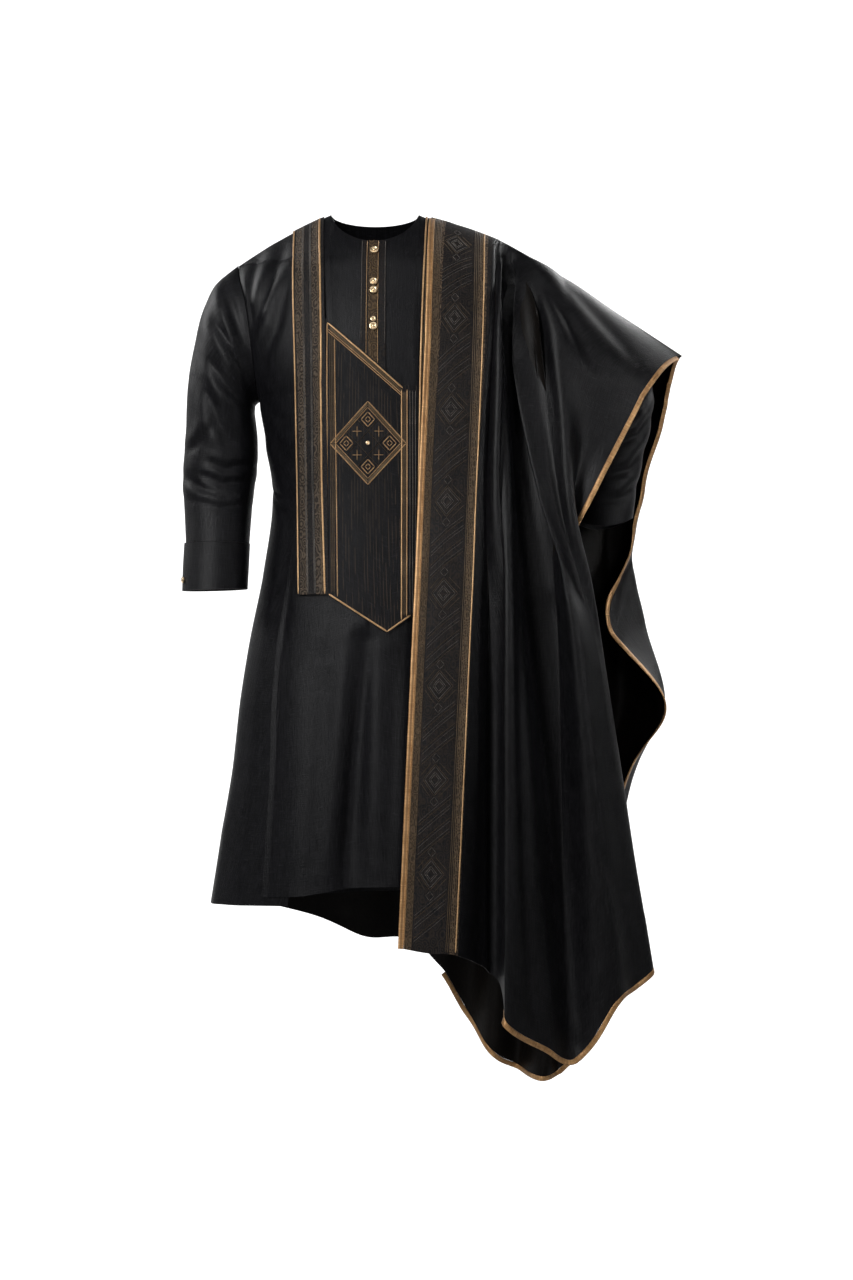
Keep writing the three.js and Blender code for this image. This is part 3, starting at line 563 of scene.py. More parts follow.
# Raised thread from one place on a surface to another: a half-round of the given width and height
def threadGrid(surfaceAt, start, end, width, height, step):
    count = max(int(round(math.dist(start, end) / step)), 2) + 1
    places = np.linspace(start, end, count).T
    centre = surfaceAt(*places, 0.0)
    normal = unit(surfaceAt(*places, 1.0) - centre)
    sideways = unit(np.cross(normal, unit(np.gradient(centre, axis=0))))
    size = np.ones((count, 1, 1))
    size[[0, -1]] = threadForm["endSize"]
    swings = np.radians([0, 40, 90, 140, 180])[:, None]
    reach = np.cos(swings) * width / 2
    rise = np.sin(swings) * (height + threadForm["sink"]) - threadForm["sink"]
    return centre[:, None] + (sideways[:, None] * reach + normal[:, None] * rise) * size


# One piece of many threads or of a binding. Its flat width is the same all round it, whatever its size.
def joinedThreads(name, grids, material):
    points, faces, uvs, base = [], [], [], 0
    for grid in grids:
        faces.append(quadsOf(indexOf(grid, base)))
        points.append(grid.reshape(-1, 3))
        down = np.broadcast_to(lengthsAlong(grid[:, 2])[:, None], grid.shape[:2])
        across = unitGrid(*grid.shape[:2])[0] * threadForm["roundLength"]
        uvs.append(np.stack([across, down], axis=-1).reshape(-1, 2))
        base += grid.shape[0] * grid.shape[1]
    faces = np.concatenate(faces)
    uvs = np.concatenate(uvs)[faces.ravel()]
    pieces[name] = addObject(name, np.concatenate(points), faces, material, uvs, sharp=60)


bindingForm = {"width": 8, "thickness": 2.4, "gap": 0.12}


def rounded(value, power):
    return np.sign(value) * np.power(np.abs(value), power)


# A folded binding: a flat oval that lies against the cloth's edge
def bindingGrid(edge, outward, normal):
    centre = edge + outward * (bindingForm["gap"] + bindingForm["width"] / 2) - normal * clothWall / 2
    swings = np.arange(13) / 12 * 2 * np.pi
    reach = rounded(np.cos(swings), 0.6) * bindingForm["width"] / 2
    rise = rounded(np.sin(swings), 0.75) * bindingForm["thickness"] / 2
    return centre[:, None] + outward[:, None] * reach[None, :, None] + normal[:, None] * rise[None, :, None]


# An edge of a grid, the direction out of the cloth at it and the cloth's normal there
def gridEdge(grid, side, start, end):
    normals = gridNormals(grid)
    edge, inside, raised = {
        "left": (grid[:, 0], grid[:, 1], normals[:, 0]),
        "right": (grid[:, -1], grid[:, -2], normals[:, -1]),
        "bottom": (grid[-1], grid[-2], normals[-1]),
    }[side]
    edge, inside, raised = edge[start:end], inside[start:end], raised[start:end]
    tangent = unit(np.gradient(edge, axis=0))
    outward = edge - inside
    outward = unit(outward - tangent * np.sum(outward * tangent, axis=-1, keepdims=True))
    return edge, outward, raised


# Materials
def feed(tree, socket, value):
    if isinstance(value, bpy.types.NodeSocket):
        tree.links.new(value, socket)
    else:
        socket.default_value = value


def addNode(tree, kind, **settings):
    node = tree.nodes.new("ShaderNode" + kind)
    for key, value in settings.items():
        if key in node.inputs:
            feed(tree, node.inputs[key], value)
        else:
            setattr(node, key, value)
    return node


def mathNode(tree, operation, *values):
    node = addNode(tree, "Math", operation=operation)
    for socket, value in zip(node.inputs, values):
        feed(tree, socket, value)
    return node.outputs[0]


def mixColors(tree, factor, first, second):
    node = addNode(tree, "Mix", data_type="RGBA", Factor=factor)
    feed(tree, node.inputs[6], first)
    feed(tree, node.inputs[7], second)
    return node.outputs[2]


def newGroup(name, inputs, outputs):
    tree = bpy.data.node_groups.new(name, "ShaderNodeTree")
    for label, value in inputs.items():
        kind = "NodeSocketColor" if isinstance(value, tuple) else "NodeSocketFloat"
        socket = tree.interface.new_socket(label, in_out="INPUT", socket_type=kind)
        socket.default_value = value
    for label, kind in outputs.items():
        tree.interface.new_socket(label, in_out="OUTPUT", socket_type="NodeSocket" + kind)
    return tree, tree.nodes.new("NodeGroupInput").outputs, tree.nodes.new("NodeGroupOutput").inputs


# Places on the flat cloth, in metres
def flatPlace(tree):
    return addNode(tree, "UVMap", uv_map="cloth").outputs[0]


def scaledPlace(tree, scale, seed=0.0):
    place = addNode(tree, "Mapping", Scale=scale, Location=(seed, seed * 0.7, 0), Vector=flatPlace(tree))
    return place.outputs[0]


def distanceAcross(tree):
    return addNode(tree, "SeparateXYZ", Vector=flatPlace(tree)).outputs[0]


def streaks(tree, scale, detail=3.0, seed=0.0):
    place = scaledPlace(tree, scale, seed)
    return addNode(tree, "TexNoise", Scale=1.0, Detail=detail, Roughness=0.6, Vector=place).outputs[0]


def stretched(tree, value, low, high):
    node = addNode(tree, "MapRange", Value=value)
    node.inputs["From Min"].default_value = low
    node.inputs["From Max"].default_value = high
    return node.outputs[0]


# Slubby plain weave: streaks along both thread directions, clouds, light flecks that are painted streak
# highlights, and a fine thread relief
def slubWeaveGroup():
    tree, inputs, outputs = newGroup(
        "slubWeave", {"Dark": charcoal, "Light": slate, "Slub": 1.0, "Roughness": 0.5},
        {"Color": "Color", "Roughness": "Float", "Height": "Float"})
    warp = streaks(tree, (760, 34, 1), detail=4.0)
    weft = streaks(tree, (46, 820, 1), detail=4.0, seed=5.3)
    clouds = streaks(tree, (11, 9, 1), detail=2.0, seed=9.1)
    # Painted highlight: sparse light streaks in the colour stand in for the satin's scratch-like highlights
    highlightFlecks = stretched(tree, streaks(tree, (64, 330, 1), detail=2.0, seed=13.7), 0.6, 0.78)
    both = mathNode(tree, "MULTIPLY_ADD", warp, 0.64, mathNode(tree, "MULTIPLY", weft, 0.36))
    slub = mathNode(tree, "MULTIPLY", mathNode(tree, "SUBTRACT", both, 0.42), 3.2)
    slub = mathNode(tree, "MULTIPLY_ADD", highlightFlecks, 0.9, slub)
    slub = mathNode(tree, "ADD", slub, mathNode(tree, "MULTIPLY_ADD", clouds, 0.5, -0.25))
    share = addNode(tree, "Clamp", Value=mathNode(tree, "MULTIPLY", slub, inputs["Slub"])).outputs[0]
    feed(tree, outputs["Color"], mixColors(tree, share, inputs["Dark"], inputs["Light"]))
    uneven = mathNode(tree, "MULTIPLY_ADD", both, 0.24, -0.12)
    feed(tree, outputs["Roughness"], mathNode(tree, "ADD", inputs["Roughness"], uneven))
    feed(tree, outputs["Height"], both)
    return tree


# A stripe along a piece: how far its middle is from the piece's own and its half width, in metres
def stripeGroup():
    tree, inputs, outputs = newGroup("stripe", {"Middle": 0.0, "Half width": 0.005}, {"Mask": "Float"})
    away = mathNode(tree, "ABSOLUTE", mathNode(tree, "SUBTRACT", distanceAcross(tree), inputs["Middle"]))
    feed(tree, outputs["Mask"], mathNode(tree, "LESS_THAN", away, inputs["Half width"]))
    return tree


# Close scroll-like filling stitches: rings about scattered points, broken up
def fillingStitchGroup():
    tree, _, outputs = newGroup("fillingStitch", {}, {"Mask": "Float"})
    spots = addNode(tree, "TexVoronoi", Scale=1.0, Randomness=0.9, Vector=scaledPlace(tree, (95, 70, 1)))
    rings = mathNode(tree, "SINE", mathNode(tree, "MULTIPLY", spots.outputs["Distance"], 26.0))
    fine = streaks(tree, (520, 430, 1), detail=2.0, seed=2.2)
    raised = mathNode(tree, "ADD", mathNode(tree, "MULTIPLY_ADD", rings, 0.3, 0.3), fine)
    feed(tree, outputs["Mask"], stretched(tree, raised, 0.6, 1.0))
    return tree


# Fine pinstripes along the length, broken by noise
def pinstripeGroup():
    tree, inputs, outputs = newGroup("pinstripe", {"Per metre": 260.0}, {"Mask": "Float"})
    saw = mathNode(tree, "FRACT", mathNode(tree, "MULTIPLY", distanceAcross(tree), inputs["Per metre"]))
    lines = mathNode(tree, "LESS_THAN", saw, 0.25)
    broken = mathNode(tree, "GREATER_THAN", streaks(tree, (260, 16, 1), seed=3.7), 0.5)
    feed(tree, outputs["Mask"], mathNode(tree, "MULTIPLY", lines, broken))
    return tree


charcoal, slate = (0.0026, 0.0026, 0.0033, 1), (0.0155, 0.0152, 0.018, 1)
bandBrown, stripBrown = (0.078, 0.054, 0.035, 1), (0.062, 0.047, 0.034, 1)
placketBrown = (0.11, 0.07, 0.035, 1)
groups = {
    "weave": slubWeaveGroup(),
    "stripe": stripeGroup(),
    "filling": fillingStitchGroup(),
    "pinstripe": pinstripeGroup(),
}


def useGroup(tree, name, **values):
    node = tree.nodes.new("ShaderNodeGroup")
    node.node_tree = groups[name]
    for label, value in values.items():
        node.inputs[label.replace("_", " ")].default_value = value
    return node.outputs


def newMaterial(name, settings):
    material = bpy.data.materials.new(name)
    material.use_nodes = True
    tree = material.node_tree
    shader = tree.nodes["Principled BSDF"]
    for label, value in settings.items():
        shader.inputs[label].default_value = value
    return material, tree, shader


def dress(tree, shader, color, roughness, height, distance):
    bump = addNode(tree, "Bump", Strength=1.0, Distance=distance, Height=height)
    for label, value in (("Base Color", color), ("Roughness", roughness), ("Normal", bump.outputs[0])):
        feed(tree, shader.inputs[label], value)


def blackCloth(name, dark, light, roughness, slub=0.85, specular=0.17):
    material, tree, shader = newMaterial(name, {
        "Sheen Weight": 0.01, "Sheen Roughness": 0.4, "Sheen Tint": (0.7, 0.75, 0.88, 1),
        "Specular IOR Level": specular})
    weave = useGroup(tree, "weave", Dark=dark, Light=light, Slub=slub, Roughness=roughness)
    dress(tree, shader, weave["Color"], weave["Roughness"], weave["Height"], 0.0008)
    return material


tunicCloth = blackCloth("tunicCloth", charcoal, slate, 0.41)
robeCloth = blackCloth(
    "robeCloth", (0.002, 0.002, 0.0025, 1), (0.017, 0.0164, 0.0184, 1), 0.38, specular=0.2)
# Lining of the robe: a brown-black cloth of its own, and also painted shade: darker and duller than the
# robe's cloth so the robe's inside looks shaded
shadedLining = blackCloth(
    "shadedLining", (0.003, 0.0024, 0.002, 1), (0.014, 0.0105, 0.0085, 1), 0.4, slub=0.6, specular=0.12)


# Ground cloth of the embroidered pieces. Each stripe of brown stitches has its middle, in millimetres
# from the piece's own, and its half width. The rest is dark.
def embroideredCloth(name, stripes, brown, pinstripes=0.0, stitched=1.0):
    material, tree, shader = newMaterial(
        name, {"Sheen Weight": 0.02, "Sheen Roughness": 0.5, "Specular IOR Level": 0.15})
    weave = useGroup(tree, "weave", Dark=charcoal, Light=slate, Slub=1.0, Roughness=0.55)
    filling = useGroup(tree, "filling")["Mask"]
    onStripe = 0.0
    for middle, halfWidth in stripes:
        mask = useGroup(tree, "stripe", Middle=middle * metres, Half_width=halfWidth * metres)["Mask"]
        onStripe = mathNode(tree, "MAXIMUM", onStripe, mask)
    stitches = mathNode(tree, "MULTIPLY", filling, mathNode(tree, "MULTIPLY_ADD", onStripe, 0.75, 0.12))
    bright = (*(1.9 * channel for channel in brown[:3]), 1)
    color = mixColors(tree, mathNode(tree, "MULTIPLY", onStripe, 0.35), weave["Color"], brown)
    color = mixColors(tree, mathNode(tree, "MULTIPLY", stitches, stitched), color, bright)
    if pinstripes:
        pin = useGroup(tree, "pinstripe", Per_metre=pinstripes)["Mask"]
        color = mixColors(tree, mathNode(tree, "MULTIPLY", pin, 0.4), color, brown)
    height = mathNode(tree, "ADD", mathNode(tree, "MULTIPLY", filling, onStripe), weave["Height"])
    dress(tree, shader, color, weave["Roughness"], height, 0.0009)
    return material


# Thread and binding. A middle is the colour of a fine line along it, a quarter of the way round.
def threadMaterial(name, dark, light, roughness=0.42, middle=None):
    material, tree, shader = newMaterial(
        name, {"Metallic": 0.35, "Specular IOR Level": 0.5, "Sheen Weight": 0.15})
    weave = useGroup(tree, "weave", Dark=dark, Light=light, Slub=1.0, Roughness=roughness)
    color = weave["Color"]
    if middle:
        quarter = threadForm["roundLength"] / 4 * metres
        onMiddle = useGroup(tree, "stripe", Middle=quarter, Half_width=0.0002)["Mask"]
        color = mixColors(tree, mathNode(tree, "MULTIPLY", onMiddle, 0.6), color, middle)
    dress(tree, shader, color, weave["Roughness"], weave["Height"], 0.0003)
    return material


goldSatin = threadMaterial("goldSatin", (0.3, 0.15, 0.052, 1), (0.78, 0.46, 0.2, 1))
bandGold = threadMaterial(
    "bandGold", (0.4, 0.2, 0.07, 1), (0.9, 0.54, 0.25, 1), middle=(0.14, 0.075, 0.033, 1))
threadOf = {
    "Gold": threadMaterial("goldThread", (0.44, 0.25, 0.11, 1), (0.86, 0.56, 0.28, 1)),
    "Bronze": threadMaterial("bronzeThread", (0.07, 0.045, 0.022, 1), (0.2, 0.13, 0.065, 1), 0.5),
    "Grey": threadMaterial("greyThread", (0.08, 0.072, 0.066, 1), (0.34, 0.3, 0.26, 1), 0.5),
}
buttonMetal, buttonTree, buttonShader = newMaterial("buttonMetal", {"Metallic": 0.75, "Roughness": 0.28})
tarnish = addNode(buttonTree, "TexNoise", Scale=180.0, Detail=2.0).outputs[0]
buttonColor = mixColors(buttonTree, tarnish, (0.72, 0.5, 0.27, 1), (0.95, 0.78, 0.53, 1))
feed(buttonTree, buttonShader.inputs["Base Color"], buttonColor)
print("materials made")

# Sleeves and cuff
armCreases = [
    crease(8, 4.6, (-228, -112), (-214, -160), (-192, -228)),
    crease(8, 4.2, (-250, -160), (-222, -206), (-192, -250)),
    crease(9, 4, (-256, -226), (-228, -268), (-196, -300)),
    crease(10, 4.2, (-262, -250), (-236, -330), (-206, -372)),
    crease(11, 2.6, (-274, -180), (-268, -250), (-276, -330)),
    crease(7, 3.4, (-186, -388), (-226, -398), (-258, -386)),
    crease(7, 3.2, (-188, -414), (-230, -420), (-270, -404)),
    crease(7, 3, (-296, -404), (-262, -428), (-222, -440)),
    crease(8, 2.6, (-190, -452), (-232, -458), (-280, -440)),
    crease(8, 2.2, (-240, -330), (-270, -360), (-290, -372)),
]
rightSleeve = tubeGrid(rightSleeveSections, -1, 150, 130)
rightSleeve = creased(rightSleeve, armCreases, edgeFade(rightSleeve, top=0.04, bottom=0.05), closed=True)
leftArmCreases = [
    crease(9, 3, (250, -150), (290, -205), (320, -262)),
    crease(9, 4, (322, -175), (360, -230), (378, -285)),
    crease(8, 5, (432, -262), (412, -300), (366, -330)),
    crease(7, 5, (434, -300), (404, -344), (350, -366)),
    crease(8, 4.6, (424, -352), (392, -396), (340, -410)),
    crease(8, 4, (416, -408), (380, -440), (330, -446)),
]
leftSleeve = tubeGrid(leftSleeveSections, 1, 150, 120)
leftHem = {"innerX": 309, "width": 91, "bow": 13}
sleeveBow = np.clip((leftSleeve[..., 0] - leftHem["innerX"]) / leftHem["width"], 0, 1)
lowest = smoothStep(0.75, 1, unitGrid(*leftSleeve.shape[:2])[1])
leftSleeve[..., 2] -= 4 * leftHem["bow"] * sleeveBow * (1 - sleeveBow) * lowest
leftSleeve = creased(leftSleeve, leftArmCreases, edgeFade(leftSleeve, top=0.12), closed=True)
rightCuff = tubeGrid(rightCuffSections, -1, 26, 160, fromArmhole=False)
turns = np.arange(160) / 160  # the cuff laps over itself beside its slit
cuffStep = 1.5 * smoothStep(0.006, 0.014, turns) * (1 - smoothStep(0.1, 0.17, turns))
rightCuff += gridNormals(rightCuff, closed=True) * cuffStep[None, :, None]

# Body
bodyCreases = [
    crease(8, 3.4, (-168, -430), (-140, -446), (-112, -450)),
    crease(7, 2.8, (-166, -462), (-138, -470), (-116, -468)),
    crease(10, 4.4, (-136, -46), (-152, -110), (-182, -196)),
    crease(8, 4, (-178, -70), (-186, -130), (-192, -200)),
    crease(10, 4.2, (-128, -110), (-146, -190), (-178, -262)),
    crease(9, 3.4, (-180, -262), (-160, -306), (-132, -340)),
    crease(9, 3, (-176, -300), (-156, -350), (-128, -392)),
    crease(15, 6, (-138, -560), (-146, -700), (-156, -860), (-164, -1030), taper=0.35),
    crease(22, 4, (-70, -690), (-76, -850), (-84, -1010), taper=0.4),
    crease(14, 9, (-10, -660), (-22, -800), (-34, -950), (-38, -1020), taper=0.3),
    crease(13, 4, (30, -690), (28, -850), (24, -1010), taper=0.4),
]
tunicFront = tunicFrontGrid(210, 150)
tunicFront = creased(tunicFront, bodyCreases, edgeFade(tunicFront, left=0.03, right=0.03, top=0.02))
bodyBackCreases = [
    crease(12, 3.6, (-150, -420), (-60, -452), (60, -446)),
    crease(12, 3.4, (150, -410), (70, -430), (-30, -424)),
    crease(13, 3, (-168, -180), (-120, -260), (-60, -300)),
    crease(15, 4.6, (-110, -600), (-120, -800), (-128, -1060), taper=0.4),
    crease(15, 4.6, (20, -620), (14, -800), (8, -1060), taper=0.4),
    crease(15, 4, (130, -640), (140, -820), (150, -1060), taper=0.4),
]
tunicBack = tunicBackGrid(210, 160)
tunicBack = creased(tunicBack, bodyBackCreases, edgeFade(tunicBack, left=0.06, right=0.12, top=0.05))

clothShell("tunicFront", tunicFront, clothWall, tunicCloth, seamSide=-1)
clothShell("tunicBack", tunicBack, clothWall, tunicCloth, seamSide=1)
clothShell("rightSleeve", rightSleeve, clothWall, tunicCloth, closed=True)
clothShell("leftSleeve", leftSleeve, clothWall, tunicCloth, closed=True)
clothShell("rightCuff", rightCuff, cuffWall, tunicCloth, closed=True)
print("tunic made")


# Robe
def waveOffsets(grid, size, reach, shift):
    across, down = unitGrid(*grid.shape[:2])
    wave = np.sin(across * reach + 2.2 * np.sin(down * 3.1 + shift))
    wave += 0.6 * np.sin(across * reach * 1.9 - down * 2 + shift)
    return size * wave * smoothStep(0.18, 0.75, down)


# The band takes the first three folds, up to its last column
bandColumn = 24
frontAcross = np.concatenate([np.linspace(0, 2, bandColumn + 1), np.linspace(2, 11, 150)[1:]])
backAcross = np.linspace(0, 11, 176)
robeDown = np.linspace(0, 1, 230)
overArmRounding = {"front": 1.45, "back": 1.0}
robeFront = foldedSheet(
    frontFolds, frontLevels, lambda x: ridgePoints(x, -1), overArmRounding["front"], frontAcross, robeDown)
robeBack = foldedSheet(backFolds, backLevels, backTop, overArmRounding["back"], backAcross, robeDown)

capeCreases = [
    crease(8, 15, (197, -66), (205, -130), (203, -260), (192, -420), (183, -600), (178, -760),
           (177, -960), (181, -1230), taper=0.25, ridge=0.25),
    crease(23, 44, (208, -70), (224, -190), (236, -380), (251, -600), (270, -820), (288, -1080),
           (300, -1260), taper=0.25, ridge=0.1),
    crease(24, -8, (262, -230), (284, -382), (316, -615), (344, -845), (368, -1150), taper=0.4, ridge=0),
    crease(9, -7, (166, -150), (160, -300), (158, -600), (152, -800), (138, -1120), taper=0.3, ridge=0),
    crease(9, 4.5, (218, -78), (246, -180), (268, -300), (282, -420)),
    crease(11, 3.4, (236, -84), (292, -180), (338, -262)),
    crease(11, 2.4, (290, -110), (350, -182), (404, -246)),
    crease(8, 4, (212, -500), (214, -760), (222, -1000), (232, -1200), taper=0.4),
    crease(12, 3.4, (268, -440), (302, -620), (330, -820), (348, -1040), taper=0.4),
    crease(11, 2.6, (296, -520), (346, -700), (384, -900), (404, -1060), taper=0.4),
    crease(10, 2.6, (318, -930), (352, -1010), (376, -1110)),
]
capeBackCreases = [
    crease(13, 3.6, (120, -60), (170, -170), (200, -300)),
    crease(14, 3.6, (210, -90), (280, -200), (330, -320)),
    crease(13, 3.2, (300, -130), (370, -220), (420, -330)),
    crease(14, 3.2, (-40, -60), (20, -150), (60, -260)),
    crease(9, 5, (462, -262), (436, -330), (428, -430)),
    crease(9, 5, (452, -340), (418, -430), (412, -540)),
    crease(9, 4, (430, -480), (396, -560), (384, -640)),
    crease(13, 4, (110, -420), (112, -640), (96, -980), taper=0.4),
    crease(12, 3.6, (-96, -60), (-70, -180), (-20, -330)),
    crease(15, 4.4, (-110, -300), (-112, -560), (-126, -900), taper=0.4),
    crease(14, 4.4, (40, -360), (34, -600), (16, -940), taper=0.4),
    crease(14, 4, (260, -430), (268, -700), (240, -1050), taper=0.4),
    crease(13, 4, (350, -460), (372, -640), (350, -900), taper=0.4),
    crease(14, 4, (-20, -500), (-30, -760), (-50, -1090), taper=0.4),
]
capeFade = edgeFade(robeFront, top=0.06) * smoothStep(2.0, 2.8, frontAcross)[None]
robeFront = creased(robeFront, capeCreases, capeFade, waves=waveOffsets(robeFront, 0.9, 34, 0.4))
backFade = edgeFade(robeBack, top=0.06)
robeBack = creased(robeBack, capeBackCreases, backFade, waves=waveOffsets(robeBack, 1.2, 40, 1.9))
frontNormals = gridNormals(robeFront)


def cutColumns(grid, start, end, shift):
    cut = grid[:, start:end].copy()
    seam = -1 if shift < 0 else 0
    cut[:, seam] += unit(cut[:, 1] - cut[:, 0]) * shift
    return cut


robeBand = cutColumns(robeFront, 0, bandColumn + 1, -seamGap / 2)
cape = cutColumns(robeFront, bandColumn, None, seamGap / 2)
bandCloth = embroideredCloth("bandCloth", [(-36, 6.5), (33, 6.5)], bandBrown)
clothShell("robeBand", robeBand, clothWall, bandCloth, seamSide=-1, normals=frontNormals[:, :bandColumn + 1])
clothShell("robeFront", cape, clothWall, robeCloth, seamSide=-1, normals=frontNormals[:, bandColumn:],
           shadedLining=shadedLining)
clothShell("robeBack", robeBack, clothWall, robeCloth, seamSide=1, shadedLining=shadedLining)

bindings = [
    {"name": "bandBinding", "grid": robeBand, "side": "left", "start": 8},
    {"name": "sleeveFrontBinding", "grid": cape, "side": "right", "start": 8},
    {"name": "frontHemBinding", "grid": cape, "side": "bottom", "start": 29, "end": 132},
    {"name": "sleeveBackBinding", "grid": robeBack, "side": "left", "start": 8, "turned": True},
    {"name": "backHemBinding", "grid": robeBack, "side": "bottom", "start": 0, "end": 110},
]
for binding in bindings:
    edge, outward, raised = gridEdge(binding["grid"], binding["side"], binding["start"], binding.get("end"))
    if "turned" in binding:  # its upper part faces the front
        facing = smoothStep(-560, -430, edge[:, 2])[:, None]
        outward = unit(lerp(outward, np.array([-0.8, -0.55, 0.0]), facing))
        raised = unit(raised - outward * np.sum(raised * outward, axis=-1, keepdims=True))
    grid = bindingGrid(edge, outward, raised)
    grid = grid if binding["side"] in ("left", "bottom") else grid[:, ::-1]
    joinedThreads(binding["name"], [grid], bandGold if binding["name"] == "bandBinding" else goldSatin)
print("robe made")


# Pieces laid on the tunic front
def reachAt(sideSign, share, z):
    level = readTable(stripSections, 0, z)
    left = sideSign * level[..., 1 if sideSign > 0 else 2]
    right = sideSign * level[..., 2 if sideSign > 0 else 1]
    return lerp(left, right, share)


def stripGrid(sideSign):
    share, down = unitGrid(150, 13)
    down = np.power(down, rowSpread)
    top = shoulderHeight(reachAt(sideSign, share, 0 * down))
    z = lerp(top - 0.01, stripHem, down)
    lift = lerp(stripLiftAtShoulder, stripLift, smoothStep(-30, -170, z)) + stripWall
    grid = tunicAt(reachAt(sideSign, share, z), z, lift)
    grid[..., 1] = np.minimum(grid[..., 1], shoulderY - ridgeGap)
    return grid


# Corners of the top and the foot from the wearer's right to their left: places across and their heights
chestPanel = {
    "top": ((-71, 43, 71), (-182, -283, -283)),
    "foot": ((-71, -63, 22, 56, 71), (-589, -594, -648, -624, -620)),
    "lift": 2.8 + stripWall,
}
placket = {"left": -18, "right": 19, "foot": -262, "lift": 0.7 + stripWall}


def panelGrid():
    across, down = unitGrid(90, 57)
    x = lerp(chestPanel["top"][0][0], chestPanel["top"][0][-1], across)
    z = lerp(np.interp(x, *chestPanel["top"]), np.interp(x, *chestPanel["foot"]), down)
    return tunicAt(x, z, chestPanel["lift"])


def placketGrid():
    across, down = unitGrid(60, 13)
    x = lerp(placket["left"], placket["right"], across)
    return tunicAt(x, lerp(-neckDepthFront - 1, placket["foot"], down), placket["lift"])


stripCloth = embroideredCloth("stripCloth", [(-13.5, 7), (13, 7)], stripBrown)
panelCloth = embroideredCloth("panelCloth", [], bandBrown, pinstripes=180.0, stitched=0.0)
placketCloth = embroideredCloth("placketCloth", [(-1, 6.5)], placketBrown, stitched=0.4)
strips = {"rightStrip": stripGrid(-1), "leftStrip": stripGrid(1)}
for name, grid in strips.items():
    clothShell(name, grid, stripWall, stripCloth, seamSide=-1)
clothShell("chestPanel", panelGrid(), stripWall, panelCloth)
clothShell("frontPlacket", placketGrid(), stripWall, placketCloth)

# Threads by the sheet they are sewn on and their colour. A path is in millimetres from the top left corner
# of the band or a strip, and in x and z on the chest panel and the placket.
threads = {}
surfaces = {
    "robeBand": surfaceOf(robeBand),
    "rightStrip": surfaceOf(strips["rightStrip"]),
    "leftStrip": surfaceOf(strips["leftStrip"]),
    "chestPanel": lambda x, z, lift: tunicAt(x, z, chestPanel["lift"] + lift),
    "frontPlacket": lambda x, z, lift: tunicAt(x, z, placket["lift"] + lift),
}


def sew(sheetName, color, path, width, height, step=4.0):
    lines = threads.setdefault(sheetName + color, [])
    for start, end in zip(path[:-1], path[1:]):
        lines.append(threadGrid(surfaces[sheetName], start, end, width, height, step))


for name, grid in strips.items():
    foot = lengthsAlong(grid[:, 6])[-1] - 1
    outer, inner, beside = (1.6, 45.2, 41.2) if name == "rightStrip" else (45.2, 1.6, 5.6)
    sew(name, "Gold", [(outer, 2), (outer, foot)], 2.6, 1.0)
    sew(name, "Gold", [(inner, 2), (inner, foot)], 3.2, 1.0)
    sew(name, "Bronze", [(beside, 2), (beside, foot)], 1.4, 0.6)
    for place in (16.5, 18.2, 28.6, 30.3):
        sew(name, "Grey", [(place, 2), (place, foot - 1)], 0.9, 0.5)
panelLines = [
    (2.6, 1.2, [(-66, -190), (43.5, -287)]),
    (1.4, 0.9, [(-65.5, -199.5), (43.5, -296)]),
    (1.6, 0.9, [(-65, -203.5), (43.5, -299.5)]),
    (2.2, 1.2, [(-66.5, -190), (-66, -588)]),
    (1.8, 1, [(-55.5, -214), (-50.5, -594)]),
    (2.2, 1.1, [(42, -290), (42, -628)]),
    (1.8, 1, [(50, -289), (49.5, -623)]),
    (2.8, 1.2, [(-64, -590), (21.5, -645.5), (55, -621.5)]),
]
for width, height, path in panelLines:
    sew("chestPanel", "Gold", path, width, height)
for x in (-62.5, -60, -57.8):
    sew("chestPanel", "Bronze", [(x, -206), (x + 3, -588)], 1.3, 0.6)
for x in (44.6, 46.4, 48.2):
    sew("chestPanel", "Bronze", [(x, -292), (x, -622)], 1.2, 0.6)
for drop in (2.6, 5, 7.2):
    sew("chestPanel", "Bronze", [(-63, -191.5 - drop), (43, -288 - drop)], 1.5, 0.6)
for x in (54, 58, 62):
    sew("chestPanel", "Grey", [(x, -290), (x, -618)], 0.8, 0.35)
for x in (-9.5, 7.2):
    sew("frontPlacket", "Gold", [(x, -58), (x, -252)], 1.2, 0.6)
for x in (-17, 17.6):
    sew("frontPlacket", "Grey", [(x, -58), (x, -222)], 0.8, 0.4)

# Emblem: a lozenge with a double frame and a lattice of small lozenges
emblem = {"place": (-6.6, -368), "size": (55, 61), "inner": (47, 52)}


def lozenge(x, z, wide, tall):
    return [(x, z + tall), (x + wide, z), (x, z - tall), (x - wide, z), (x, z + tall)]


wide, tall = emblem["size"]
sew("chestPanel", "Gold", lozenge(*emblem["place"], wide, tall), 1.9, 1.2)
sew("chestPanel", "Gold", lozenge(*emblem["place"], *emblem["inner"]), 1.3, 1.0)
for inset in (2.6, 5.0):
    sew("chestPanel", "Bronze", lozenge(*emblem["place"], wide - inset, tall - inset * 1.1), 2.0, 0.8)
cellWide, cellTall = (length / 3 for length in emblem["inner"])
for across, up in ((-2, 0), (0, 2), (2, 0), (0, -2), (-1, 1), (1, 1), (1, -1), (-1, -1), (0, 0)):
    x, z = emblem["place"][0] + across * cellWide, emblem["place"][1] + up * cellTall
    sew("chestPanel", "Bronze", lozenge(x, z, cellWide, cellTall), 0.9, 0.7)
    if abs(across) == 2 or abs(up) == 2:
        sew("chestPanel", "Gold", lozenge(x, z, cellWide * 0.62, cellTall * 0.62), 1.7, 1.0)
        sew("chestPanel", "Gold", lozenge(x, z, cellWide * 0.26, cellTall * 0.26), 1.4, 0.9)
    elif across and up:
        wide, tall = cellWide * 0.45, cellTall * 0.45
        sew("chestPanel", "Gold", [(x - wide, z), (x + wide, z)], 1.1, 0.8, 2.0)
        sew("chestPanel", "Gold", [(x, z - tall), (x, z + tall)], 1.1, 0.8, 2.0)

